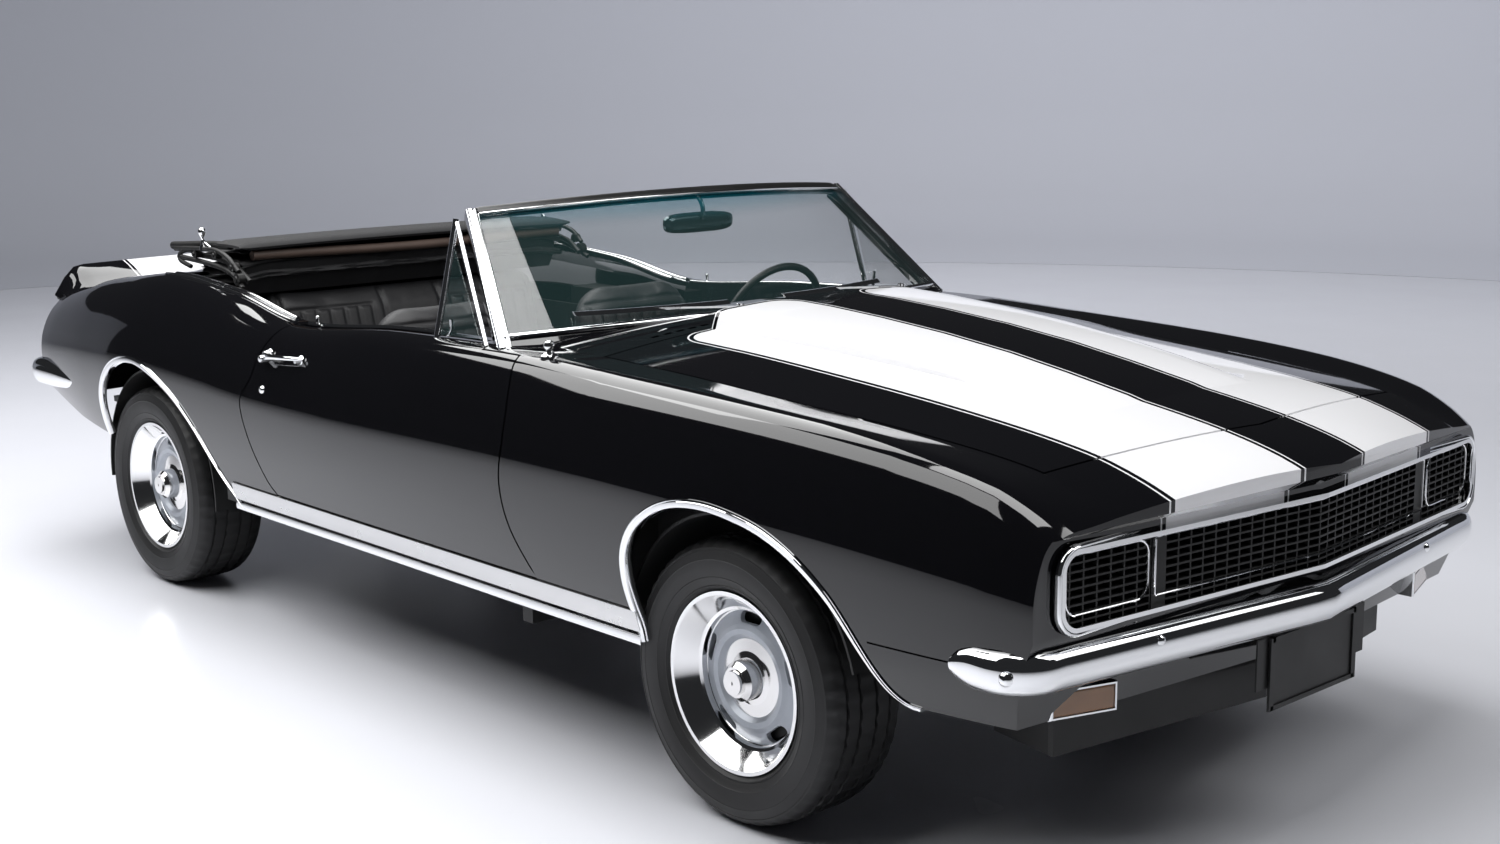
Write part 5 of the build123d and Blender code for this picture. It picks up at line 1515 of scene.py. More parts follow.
# ------------------------------------------------------------------ tyres
@dataclass
class Tyres:
    """Four radial tyres: ringed sidewalls, a grooved tread and cut shoulders."""

    steps: int = 150
    notch: float = 0.0045
    shoulder: float = 0.3040
    middle_rib: float = 0.0290
    next_rib: float = 0.0680

    def profile(self) -> list[Point]:
        """Half of the cross-section, from the bead over the sidewall to the middle of the tread."""
        side = [
            (0.2015, 0.088), (0.2055, 0.0945), (0.2090, 0.0985), (0.2115, 0.1010), (0.2125, 0.1030),
            (0.2150, 0.1033), (0.2165, 0.1020), (0.2240, 0.1065), (0.2330, 0.1098), (0.2345, 0.1112),
            (0.2362, 0.1104), (0.2500, 0.1128), (0.2620, 0.1135), (0.2720, 0.1130), (0.2738, 0.1138),
            (0.2756, 0.1126), (0.2850, 0.1105), (0.2935, 0.1068), (0.2945, 0.1078), (0.2985, 0.1066),
            (0.3050, 0.1010), (0.3095, 0.0945), (0.3128, 0.0870), (0.3142, 0.0800)]
        tread = []
        for groove in (0.0620, 0.0235):
            tread += [(0.3168 - 0.35 * (groove - 0.02) ** 2, groove + 0.0048), (0.3095, groove + 0.0035),
                      (0.3095, groove - 0.0035), (0.3172, groove - 0.0048)]
        return side + tread + [(0.3180, 0.0)]

    def tyre(self, x: float, y: float) -> Form:
        """One tyre about its axle."""
        half = self.profile()
        whole = half + [(r, -a) for r, a in half[-2::-1]] + [(0.197, -0.080), (0.197, 0.080)]
        centre = (x, y, WHEEL_Z)
        bm = spun(whole, centre, (0, 1, 0), self.steps, True)
        for vert in bm.verts:
            rel = vert.co - Vector(centre)
            radius, across = math.hypot(rel.x, rel.z), abs(rel.y)
            if radius < self.shoulder or 0.0 < across < self.middle_rib:
                if not (radius > 0.3150 and 0.0001 < across < self.middle_rib):
                    continue
            step = round(math.atan2(rel.z, rel.x) / math.tau * self.steps)
            shift = 2 if across < self.middle_rib else (1 if across < self.next_rib else 0)
            on_tread = radius > 0.3100 and (step + shift) % 3 == 0
            on_shoulder = radius <= 0.3100 and across > 0.09 and step % 3 == 0
            if on_tread or on_shoulder:
                factor = (radius - self.notch) / radius
                vert.co = Vector((centre[0] + rel.x * factor, vert.co.y, centre[2] + rel.z * factor))
        return bm

    def build(self, rubber: Material) -> None:
        """Make the four tyres."""
        for end, x in (("front", AXLE_X), ("rear", REAR_AXLE_X)):
            for side in Side:
                name, tyre = f"{end}_{side.label}", self.tyre(x, side.value * WHEEL_Y)
                finish_piece(f"ribbed_tyre_{name}", tyre, rubber, f"wheel_{name}", f"tyre_{name}",
                             24.0)


# ------------------------------------------------------------------ bumpers
@dataclass
class Bumpers:
    """The bright blades at nose and tail, with their bolts."""

    height: float = 0.088
    depth: float = 0.036

    def blade(self, tip: float, side: float, slope: float, half: float, corner: float, z: float,
              facing: int) -> Form:
        """A blade: a crowned bar across the car, wrapped round both corners.

        Args:
            tip: The station of its middle.
            side: The station of its ends.
            slope: How far it sweeps back for each metre across.
            half: Half its width.
            corner: The radius of its corners.
            z: Its height above the ground.
            facing: 1 at the nose, -1 at the tail.

        Returns:
            The blade as a bmesh.
        """
        x_tip = AXLE_X + tip
        bend = x_tip - facing * (slope * (half - corner) + corner)
        stations = []
        end_x = AXLE_X + side
        for k in range(7):
            t = k / 7
            tall = 0.50 + 0.50 * math.sqrt(min(1.0, t * 1.6))
            stations.append((end_x + (bend - end_x) * t, half, 1.0, 0.0, tall))
        for k in range(10):
            a = math.pi / 2 * k / 10
            x, y = bend + facing * corner * math.sin(a), half - corner * (1 - math.cos(a))
            stations.append((x, y, math.cos(a), facing * math.sin(a), 1.0))
        for k in range(14):
            y = (half - corner) * (1 - k / 14)
            stations.append((x_tip - facing * slope * y, y, 0.06 * (1 - k / 14), facing, 1.0))
        stations.append((x_tip, 0.0, 0.0, facing, 1.0))
        shape = [
            (-0.50, 0.0), (-0.485, 0.30), (-0.43, 0.56), (-0.33, 0.76), (-0.20, 0.90), (-0.06, 0.98),
            (0.06, 1.0), (0.18, 0.97), (0.30, 0.88), (0.40, 0.70), (0.46, 0.46), (0.49, 0.22),
            (0.50, 0.0)]
        loops = []
        for x, y, out_y, out_x, tall in stations:
            loops.append([Vector((x + out_x * self.depth * (bulge - 1),
                                  -(y + out_y * self.depth * (bulge - 1)),
                                  z + rise * self.height * tall)) for rise, bulge in shape])
        whole = loops + [[Vector((p.x, -p.y, p.z)) for p in loop] for loop in loops[-2::-1]]
        return loft(whole)

    def bolt(self, place: Place, radius: float, axis: Place) -> Form:
        """A domed bolt head."""
        return spun([(0.0001, radius * 0.55), (radius * 0.45, radius * 0.48), (radius * 0.8, radius * 0.28),
                     (radius, 0.0), (radius, -0.004)], place, axis, 20)

    def build(self, chrome: Material) -> None:
        """Make the blades and bolts."""
        front = self.blade(0.930, 0.640, 0.139, 0.872, 0.120, 0.516, 1)
        brackets = [box((AXLE_X + 0.72, y - 0.03, 0.498), (AXLE_X + 0.845, y + 0.03, 0.534))
                    for y in (-0.42, 0.42)]
        finish_piece("front_blade", joined(front, *brackets), chrome, "car", "front_bumper")
        rear = self.blade(-3.760, -3.300, 0.05, 0.872, 0.110, 0.590, -1)
        finish_piece("rear_blade", rear, chrome, "car", "rear_bumper")
        spots = [(AXLE_X + 0.9285 - 0.139 * abs(y), y, 0.532) for y in (-0.505, 0.505)]
        heads = [self.bolt(spot, 0.011, (1, 0, 0)) for spot in spots]
        heads += [self.bolt((AXLE_X + 0.770, y, 0.515), 0.014, (0.3, math.copysign(1, y), 0.0))
                  for y in (-0.862, 0.862)]
        finish_piece("bumper_bolts", joined(*heads), chrome, "car", None)


# ------------------------------------------------------------------ upholstery
def swollen(bm: Form, voxel: float, cap: float = 0.018, pressure: float = 4.0) -> Form:
    """Fill a closed form with air, as sewn cloth, and smooth it once.

    Args:
        bm: The form; it is freed.
        voxel: The size of its even mesh.
        cap: How far a point may move.
        pressure: The air's pressure.

    Returns:
        The swollen form.
    """
    piece = as_object("stuffing", to_mesh("stuffing", bm, 180.0))
    even = piece.modifiers.new("even", "REMESH")
    even.mode, even.voxel_size = "VOXEL", voxel
    plain = evaluated(piece)
    dropped(piece)
    for _ in range(6):
        bmesh.ops.smooth_vert(plain, verts=plain.verts, factor=0.5, use_axis_x=True, use_axis_y=True,
                              use_axis_z=True)
    start = [vert.co.copy() for vert in plain.verts]
    piece = as_object("stuffing", to_mesh("stuffing", plain, 180.0))
    cloth = piece.modifiers.new("air", "CLOTH")
    cloth.settings.use_pressure = True
    cloth.settings.uniform_pressure_force = pressure
    cloth.settings.effector_weights.gravity = 0.0
    for frame in range(1, 21):
        bpy.context.scene.frame_set(frame)
    full = evaluated(piece)
    bpy.context.scene.frame_set(1)
    piece.modifiers.clear()
    for vert, source, origin in zip(piece.data.vertices, full.verts, start):
        shift = source.co - origin
        if shift.length > cap:
            shift *= cap / shift.length
        vert.co = origin + shift
    full.free()
    soft = piece.modifiers.new("soft", "SUBSURF")
    soft.levels = soft.render_levels = 1
    result = evaluated(piece)
    dropped(piece)
    bmesh.ops.recalc_face_normals(result, faces=result.faces)
    return result


def thickened(bm: Form, thickness: float) -> Form:
    """Give a surface a thickness, along its points' normals."""
    bmesh.ops.recalc_face_normals(bm, faces=bm.faces)
    bm.normal_update()
    grown = bmesh.ops.extrude_face_region(bm, geom=bm.faces[:], use_keep_orig=True)["geom"]
    for vert in grown:
        if isinstance(vert, bmesh.types.BMVert):
            vert.co += vert.normal * thickness
    outward(bm)
    return bm


@dataclass(frozen=True)
class Seam:
    """A sewn line between two points, in a cushion's own plane."""

    start: Point
    end: Point
    depth: float = 0.007
    width: float = 0.007

    def pull(self, a: float, b: float) -> float:
        """How deep the seam pulls a point of the cushion in."""
        ax, ay = self.start
        bx, by = self.end
        along = Vector((bx - ax, by - ay))
        share = max(0.0, min(1.0, Vector((a - ax, b - ay)).dot(along) / along.length_squared))
        away = Vector((a - ax - along.x * share, b - ay - along.y * share)).length
        return self.depth * math.exp(-(away / self.width) ** 2)


@dataclass
class Upholstery:
    """Bucket seats in front and a bench behind: stuffed, sewn and pleated."""

    pleat: float = 0.050
    front_y: float = 0.365
    runner_y: float = 0.18
    hinge_y: float = 0.215
    lean: float = -14.0
    cushion_slab: tuple = (0.478, 0.478, 0.104, 0.085)
    back_slab: tuple = (0.470, 0.478, 0.082, 0.120)
    bench_cushion_slab: tuple = (1.076, 0.396, 0.106, 0.060)
    bench_back_slab: tuple = (1.076, 0.385, 0.080, 0.060)

    def slab(self, wide: float, tall: float, thick: float, corner: float) -> Form:
        """A rounded slab about the origin: Y across, Z up, X thick."""
        loops = []
        for share, shrink in ((-0.5, 0.045), (-0.44, 0.018), (-0.28, 0.0), (0.28, 0.0), (0.44, 0.018),
                              (0.5, 0.045)):
            half_y, half_z = wide / 2 - shrink, tall / 2 - shrink
            ring = rounded((-half_y, -half_z), (half_y, half_z), max(0.02, corner - shrink), 7)
            loops.append([Vector((share * thick, y, z)) for y, z in ring])
        return loft(loops)

    def sewn(self, bm: Form, seams: Sequence[Seam], crown: float) -> Form:
        """Crown the front face and pull its seams in."""
        bm.normal_update()
        moves = []
        spread_y = max(abs(v.co.y) for v in bm.verts)
        spread_z = max(abs(v.co.z) for v in bm.verts)
        for vert in bm.verts:
            if vert.normal.x < 0.25:
                continue
            y, z = vert.co.y, vert.co.z
            depth = max((seam.pull(y, z) for seam in seams), default=0.0)
            rise = crown * (1 - (y / spread_y) ** 2) * (1 - (z / spread_z) ** 2)
            moves.append((vert, vert.normal * -depth + Vector((rise, 0, 0))))
        for vert, move in moves:
            vert.co += move
        return bm

    def set_down(self, bm: Form, tilt: float, place: Place, flat: bool) -> Form:
        """Turn a slab to its place: lying flat with its face up, or standing and leaning back."""
        if flat:
            turned(bm, math.radians(-90), (0, 0, 0), (0, 1, 0))
        turned(bm, math.radians(tilt), (0, 0, 0), (0, 1, 0))
        bmesh.ops.translate(bm, verts=bm.verts, vec=Vector(place))
        return bm

    def pleats(self, low: float, high: float, bottom: float, top: float) -> list[Seam]:
        """Parallel channels between two distances from the middle, in a sewn frame."""
        count = max(2, round((high - low) / self.pleat))
        lines = [Seam((y, bottom), (y, top)) for y in np.linspace(low, high, count + 1)]
        return lines + [Seam((low, top), (high, top)), Seam((low, bottom), (high, bottom))]

    def front(self) -> dict[str, Form]:
        """The two bucket seats' cushions and backs."""
        left, right, front, rear = -0.195, 0.195, -0.21, 0.17
        seams = self.pleats(-0.155, 0.155, -0.165, 0.135)
        seams += [Seam((left, front), (left, rear)), Seam((right, front), (right, rear)),
                  Seam((left, rear), (right, rear))]
        cushion = self.sewn(swollen(self.slab(*self.cushion_slab), 0.010), seams, 0.010)
        back = self.sewn(swollen(self.slab(*self.back_slab), 0.010), seams, 0.004)
        pieces = {}
        for side in Side:
            y = side.value * self.front_y
            for name, bm, tilt, place, flat in (
                    ("seat_cushion", cushion, -4.0, (AXLE_X - 1.500, y, 0.465), True),
                    ("seat_back", back, self.lean, (AXLE_X - 1.790, y, 0.715), False)):
                pieces[f"{name}_{side.label}"] = self.set_down(bm.copy(), tilt, place, flat)
        return pieces

    def rear(self) -> dict[str, Form]:
        """The rear bench's cushion and back, pleated where two people sit."""
        seams = []
        for side in (-1, 1):
            low, high = sorted((side * 0.155, side * 0.465))
            seams += self.pleats(low, high, -0.150, 0.110)
            seams += [Seam((side * foot, -0.20), (side * top, 0.20), 0.009, 0.008)
                      for foot, top in ((0.110, 0.110), (0.500, 0.480))]
        back = self.sewn(swollen(self.slab(*self.bench_back_slab), 0.012), seams, 0.006)
        cushion = self.sewn(swollen(self.slab(*self.bench_cushion_slab), 0.012), seams, 0.010)
        return {"bench_back": self.set_down(back, self.lean, (AXLE_X - 2.570, 0, 0.738), False),
                "bench_cushion": self.set_down(cushion, 0.0, (AXLE_X - 2.330, 0, 0.535), True)}

    def frames(self) -> Form:
        """The runners on the floor, their posts, and the hinges of the backs."""
        bars = []
        for side in Side:
            middle = side.value * self.front_y
            for y in (middle - self.runner_y, middle + self.runner_y):
                bars.append(box((AXLE_X - 1.70, y - 0.012, 0.312), (AXLE_X - 1.30, y + 0.012, 0.340)))
                bars += [tube([(AXLE_X - s, y, 0.325), (AXLE_X - s, y, 0.425)], 0.010) for s in (1.66, 1.34)]
            for y in (middle - self.hinge_y, middle + self.hinge_y):
                bars.append(tube([(AXLE_X - 1.700, y, 0.470), (AXLE_X - 1.735, y, 0.560)], 0.012))
        return joined(*bars)

    def build(self, vinyl: Material, metal: Material) -> None:
        """Make the seats."""
        for names, node in ((self.front(), "front_seats"), (self.rear(), "rear_seat")):
            for name, bm in names.items():
                piece = finish_piece(name, bm, vinyl, "car", node, 180.0)
        finish_piece("seat_frames", self.frames(), metal, "car", "front_seats")


# ------------------------------------------------------------------ folded top
@dataclass
class FoldedTop:
    """The lowered fabric top: cloth folded in layers behind the bench, its bows and side irons."""

    half: float = 0.628
    layers: tuple = (
        (-2.790, 0.972), (-2.560, 0.974), (-2.530, 0.986), (-2.560, 0.998), (-2.780, 0.996),
        (-2.796, 1.006), (-2.780, 1.016), (-2.560, 1.020), (-2.534, 1.030), (-2.560, 1.040),
        (-2.760, 1.038), (-2.774, 1.048), (-2.755, 1.058), (-2.600, 1.068), (-2.530, 1.070))
    iron_y: float = 0.668
    bow_half: float = 0.640
    bow_z: float = 1.078
    lining_half: float = 0.60

    def cloth(self) -> Form:
        """The folded cloth: one sheet laid back and forth."""
        line = smooth_line([(AXLE_X + s, 0.0, z) for s, z in self.layers], 4)
        columns = 60

        def place(row: int, column: int) -> Vector:
            point = line[row]
            share = column / (columns - 1) * 2 - 1
            y = share * (self.half - 0.02 * math.sin(row * 1.7) ** 2)
            sag = 0.004 * math.sin(9.0 * share + row * 0.9) + 0.003 * math.sin(23.0 * share + row * 2.3)
            droop = -0.014 * max(0.0, abs(share) - 0.86) / 0.14
            return Vector((point.x + 0.6 * sag, y, point.z + 0.45 * sag + droop))

        bm = grid(len(line), columns, place)
        return thickened(bm, 0.0016)

    def flat_length(self) -> float:
        """The cloth's length from front to rear before it was folded."""
        line = smooth_line([(s, 0.0, z) for s, z in self.layers], 4)
        return sum((b - a).length for a, b in zip(line, line[1:]))

    def header_bow(self) -> Form:
        """The front bow of the top, lying uppermost, a little crowned."""
        loops = []
        shape = [(-2.505, 1.066), (-2.500, 1.074), (-2.506, 1.084), (-2.530, 1.0905), (-2.600, 1.094),
                 (-2.660, 1.090), (-2.676, 1.082), (-2.670, 1.074), (-2.600, 1.070)]
        for y in np.linspace(-self.bow_half, self.bow_half, 36):
            crown = 0.006 * (1 - (y / self.bow_half) ** 2)
            taper = 0.35 if abs(y) > self.bow_half - 0.02 else 1.0
            loops.append([Vector((AXLE_X + s, float(y), self.bow_z + (z - self.bow_z) * taper + crown))
                          for s, z in shape])
        return loft(loops)

    def pad_roll(self) -> Form:
        """The rolled pad just under the front bow."""
        path = [(AXLE_X - 2.518 - 0.012 * abs(math.sin(3 * y)), y, 1.044 - 0.004 * math.cos(5 * y))
                for y in np.linspace(-0.585, 0.60, 30)]
        return tube(path, 0.0155, 14)

    def apron(self) -> Form:
        """The lining that hangs from the folded top down behind the bench."""
        columns = 70

        def place(row: int, column: int) -> Vector:
            share = column / (columns - 1) * 2 - 1
            y, z = share * self.lining_half, 1.034 - 0.112 * row / 9
            seam = sum(math.exp(-((abs(y) - at) / 0.006) ** 2) for at in (0.11, 0.49))
            bulge = 0.010 * math.sin(math.pi * row / 9)
            return Vector((AXLE_X - 2.546 - 0.036 * row / 9 + bulge - 0.006 * seam, y, z))

        bm = grid(10, columns, place)
        return thickened(bm, 0.002)

    def irons(self) -> Form:
        """The right-hand bars of the top's frame, folded over one another."""
        y = -self.iron_y
        runs = (
            (0.0085, ((-2.44, 0.0, 0.958), (-2.50, 0.012, 0.985), (-2.58, 0.016, 1.006),
                      (-2.70, 0.010, 1.020), (-2.86, 0.0, 1.030))),
            (0.0095, ((-2.45, 0.030, 0.975), (-2.52, 0.028, 1.012), (-2.64, 0.030, 1.034),
                      (-2.80, 0.024, 1.040))),
            (0.0080, ((-2.47, 0.004, 1.008), (-2.53, 0.002, 1.046), (-2.62, 0.006, 1.064),
                      (-2.74, 0.004, 1.062), (-2.90, 0.008, 1.052))),
            (0.0130, ((-2.60, 0.050, 1.076), (-2.72, 0.030, 1.074), (-2.84, 0.020, 1.066),
                      (-2.93, 0.016, 1.060))),
            (0.0075, ((-2.80, 0.010, 1.000), (-2.845, -0.002, 1.018), (-2.850, 0.0, 1.040),
                      (-2.820, 0.010, 1.052), (-2.775, 0.020, 1.046))))
        bars = [tube(smooth_line([(AXLE_X + s, y + inwards, z) for s, inwards, z in run], 6), radius, 10)
                for radius, run in runs]
        pivots = []
        for s, z, r in ((-2.470, 0.985, 0.019), (-2.500, 1.020, 0.015), (-2.610, 1.050, 0.013),
                        (-2.745, 1.045, 0.013)):
            profile = [(0.0001, 0.017), (r * 0.5, 0.017), (r * 0.55, 0.013), (r, 0.011), (r, -0.011),
                       (r * 0.5, -0.014), (0.0001, -0.014)]
            pivots.append(spun(profile, (AXLE_X + s, y + 0.006, z), (0, -1, 0), 24))
        return joined(*bars, *pivots)

    def knob(self) -> Form:
        """The bright latch that stands up at the right-hand end of the front bow."""
        x, y = AXLE_X - 2.700, -self.iron_y + 0.004
        post = spun([(0.010, 1.060), (0.010, 1.072), (0.0055, 1.078), (0.0050, 1.100), (0.0090, 1.106),
                     (0.0125, 1.116), (0.0110, 1.126), (0.0060, 1.131), (0.0001, 1.132)],
                    (x, y, 0.0), (0, 0, 1), 24)
        arm = tube([(x + 0.045, y + 0.004, 1.070), (x + 0.020, y, 1.082), (x - 0.004, y, 1.096)], 0.0045, 8)
        return joined(post, arm)

    def build(self, canvas: Material, iron: Material, brown: Material,
              chrome: Material, vinyl: Material) -> None:
        """Make the folded top."""
        sheet = finish_piece("folded_cloth", self.cloth(), canvas, "car", "folded_top", 60.0)
        self.flat_length()
        lining = finish_piece("well_lining", self.apron(), vinyl, "car", "folded_top", 60.0)
        finish_piece("top_front_bow", self.header_bow(), canvas, "car", "folded_top", 50.0)
        finish_piece("top_pad_roll", self.pad_roll(), brown, "car", "folded_top", 60.0)
        finish_piece("top_side_bars", both_sides(self.irons()), iron, "car", "top_irons", 40.0)
        finish_piece("top_latches", both_sides(self.knob()), chrome, "car", None, 40.0)


# ------------------------------------------------------------------ fittings
@dataclass
class Fittings:
    """Rear spoiler, lamps, number plate, door furniture and the small bright parts."""

    form: BodyForm
    spoiler_half: float = 0.752
    spoiler_square: float = 0.66
    lamp_inner: float = 0.569
    lamp_outer: float = 0.703
    lamp_low: float = 0.398
    lamp_high: float = 0.447
    plate_s: float = 0.880
    handle_z: float = 0.830
    button_s: float = -1.905
    lock_s: float = -1.899
    lock_z: float = 0.737
    knob_s: float = -1.875
    knob_y: float = 0.735
    aerial_s: float = -0.690
    aerial_y: float = 0.795
    jet_s: float = -0.800
    jet_y: float = 0.447
    mirror_place: tuple = (-1.062, 1.196)
    mirror_size: tuple = (0.124, 0.028)

    def spoiler(self) -> Form:
        """The upright lip on the tail, its ends cut back over the quarters."""
        loops = []
        for y in np.linspace(-self.spoiler_half, self.spoiler_half, 41):
            y = float(y)
            reach = abs(y)
            fall = max(0.0, (reach - self.spoiler_square) / (self.spoiler_half - self.spoiler_square))
            rear, front = -3.722 + 0.06 * reach, -3.500 - 0.03 * fall
            top = 0.950 - 0.006 * (reach / 0.7) ** 2 - 0.095 * fall ** 1.6
            foot = min(self.form.top_z(-3.60, min(reach, 0.74)) - 0.020, top - 0.014)
            rows = [(front, foot + 0.012), (front - 0.05, foot + 0.012 + 0.25 * (top - foot)),
                    (-3.600, foot + 0.012 + 0.50 * (top - foot)), (rear + 0.050, top - 0.014),
                    (rear + 0.012, top - 0.001), (rear + 0.002, top), (rear - 0.003, top - 0.006),
                    (rear + 0.012, 0.5 * (top + foot)), (rear + 0.020, foot), (front, foot)]
            loops.append([Vector((AXLE_X + s, y, z)) for s, z in rows])
        return loft(loops)

    def park_lamp(self) -> tuple[Form, Form]:
        """The right lamp under the bumper: its lens and its bright rim."""
        def outline(grow: float, depth: float) -> list[Vector]:
            inner, outer = -self.lamp_inner + grow, -self.lamp_outer - grow
            low, high = self.lamp_low - grow, self.lamp_high + grow
            return [Vector((AXLE_X + (0.800 - 0.32 * (abs(y) - 0.561) + depth), y, z))
                    for y, z in ((inner, high), (outer, high), (outer, low), (inner, low))]

        lens = loft([outline(0.0, -0.090), outline(0.0, 0.0), outline(-0.003, 0.003)])
        rim = loft([outline(grow, depth) for grow, depth in (
            (0.006, -0.090), (0.006, -0.002), (0.004, 0.003), (0.0005, 0.003), (0.0005, -0.006))], caps=False)
        return lens, rim

    def plate(self) -> Form:
        """The blank dark plate under the bumper, in its folded bracket."""
        x = AXLE_X + self.plate_s
        rows = (
            (0.000, 0.003, -0.158, 0.158, 0.318, 0.462),
            (0.001, 0.007, -0.166, -0.150, 0.312, 0.468), (0.001, 0.007, 0.150, 0.166, 0.312, 0.468),
            (0.001, 0.007, -0.160, 0.160, 0.312, 0.322), (0.001, 0.007, -0.160, 0.160, 0.458, 0.468),
            (-0.004, 0.000, -0.205, -0.150, 0.362, 0.470), (-0.004, 0.000, 0.150, 0.205, 0.362, 0.470),
            (-0.026, 0.001, -0.12, -0.08, 0.400, 0.505), (-0.026, 0.001, 0.08, 0.12, 0.400, 0.505))
        return joined(*[box((x + rear, right, low), (x + front, left, high))
                        for rear, front, right, left, low, high in rows])

    def handle(self) -> Form:
        """The right door's pull handle, its seat and push button."""
        z = self.handle_z
        rows = ((-1.930, 0.010, 0.008, 0.0), (-1.924, 0.019, 0.016, 0.0), (-1.905, 0.024, 0.028, 0.0),
                (-1.880, 0.021, 0.033, 0.002), (-1.840, 0.016, 0.034, 0.005), (-1.790, 0.014, 0.032, 0.008),
                (-1.745, 0.012, 0.026, 0.010), (-1.722, 0.009, 0.016, 0.010), (-1.712, 0.004, 0.008, 0.009))
        loops = []
        for s, tall, out, rise in rows:
            base, inner = self.form.side_y(s, z), max(out - 0.013, -0.002)
            loops.append([Vector((AXLE_X + s, -(base + (inner + out) / 2 + (out - inner) / 2 * math.cos(a)),
                                  z + rise + tall / 2 * math.sin(a)))
                          for a in np.linspace(0, math.tau, 14, endpoint=False)])
        foot = [(0.0001, 0.018), (0.007, 0.018), (0.011, 0.004), (0.014, 0.002), (0.015, -0.003)]
        button = [(0.0001, 0.038), (0.009, 0.037), (0.0105, 0.033), (0.0105, 0.0)]
        lock = [(0.0001, 0.006), (0.006, 0.0065), (0.009, 0.005), (0.0115, 0.001), (0.012, -0.003)]
        rounds = [spun(profile, (AXLE_X + s, -self.form.side_y(s, level), level + rise), (0, -1, 0), steps)
                  for profile, s, level, rise, steps in (
                      (foot, -1.915, z, 0.004, 20), (foot, -1.735, z, 0.004, 20),
                      (button, self.button_s, z, -0.006, 24), (lock, self.lock_s, self.lock_z, 0.0, 24))]
        return joined(loft(loops), *rounds)

    def wheel_house(self, axle: float, ends: tuple[float, float], profile: Sequence[Point]) -> Form:
        """The dark inner arch over a right wheel, between two angles, from its section as (radius, y)."""
        loops = []
        for turn in np.radians(np.linspace(*ends, 40)):
            ahead, up = math.cos(turn), math.sin(turn)
            loops.append([Vector((axle + r * ahead, y, WHEEL_Z + r * up)) for r, y in profile])
        return loft(loops)

    def door_knob(self) -> Form:
        """The lock knob on top of the right door."""
        profile = [(0.0055, -0.006), (0.0045, 0.004), (0.0042, 0.016), (0.0060, 0.020), (0.0058, 0.026),
                   (0.0001, 0.029)]
        return self.standing(profile, self.knob_s, -self.knob_y, 18)

    def standing(self, profile: Profile, s: float, y: float, steps: int) -> Form:
        """A round fitting that stands on the body's top, at a station and a distance from the middle."""
        return spun(profile, (AXLE_X + s, y, self.form.top_z(s, abs(y))), (0, 0, 1), steps)

    def vent(self) -> Form:
        """The round bright frame of the right vent window, with its latch."""
        corners = [(-0.950, -0.796, 0.946), (-1.200, -0.704, 1.236), (-1.184, -0.788, 0.937)]
        foot, top, heel = [Vector((AXLE_X + x, y, z)) for x, y, z in corners]
        front = tube([foot, foot.lerp(top, 0.5), top], 0.0065, 12)
        post = tube([heel, heel.lerp(top, 0.5), top + Vector((0, 0, 0.004))], 0.0085, 12)
        sill = tube([heel, heel.lerp(foot, 0.5), foot], 0.0065, 12)
        path = [heel.lerp(foot, share) + Vector(shift)
                for share, shift in ((0.16, (0, 0.010, 0.012)), (0.20, (0, 0.016, 0.030)),
                                     (0.20, (0.002, 0.016, 0.055)))]
        latch = tube(smooth_line(path, 4), 0.0050, 10)
        return joined(front, post, sill, latch)

    def aerial_seat(self) -> Form:
        """The bright seat of the aerial on the right fender, and the washer jets on the cowl."""
        seat = [(0.023, -0.006), (0.022, 0.002), (0.015, 0.007), (0.009, 0.010), (0.008, 0.013),
                (0.0125, 0.019), (0.0140, 0.026), (0.0110, 0.034), (0.0050, 0.038), (0.0001, 0.0385)]
        jet = [(0.009, -0.004), (0.009, 0.003), (0.005, 0.006), (0.004, 0.014), (0.0001, 0.016)]
        return joined(self.standing(seat, self.aerial_s, -self.aerial_y, 28),
                      *[self.standing(jet, self.jet_s, y, 18) for y in (-self.jet_y, self.jet_y)])

    def mirror_shell(self) -> Form:
        """The inside mirror's rounded case on its stalk."""
        loops = []
        (s, height), (half_y, half_z) = self.mirror_place, self.mirror_size
        for depth, shrink in ((-0.010, 0.003), (-0.008, 0.0), (0.002, 0.001), (0.009, 0.009), (0.011, 0.018)):
            ring = []
            for turn in np.linspace(0, math.tau, 28, endpoint=False):
                across, up = math.cos(turn), math.sin(turn)
                y = (half_y - shrink) * math.copysign(abs(across) ** 0.55, across)
                z = (half_z - shrink * 0.8) * math.copysign(abs(up) ** 0.55, up)
                ring.append(Vector((AXLE_X + s + depth, y, height + z)))
            loops.append(ring)
        path = [(AXLE_X - back, 0, z)
                for back, z in ((1.052, 1.205), (1.046, 1.235), (1.062, 1.262), (1.096, 1.278))]
        return joined(loft(loops), tube(smooth_line(path, 5), 0.0065, 10))

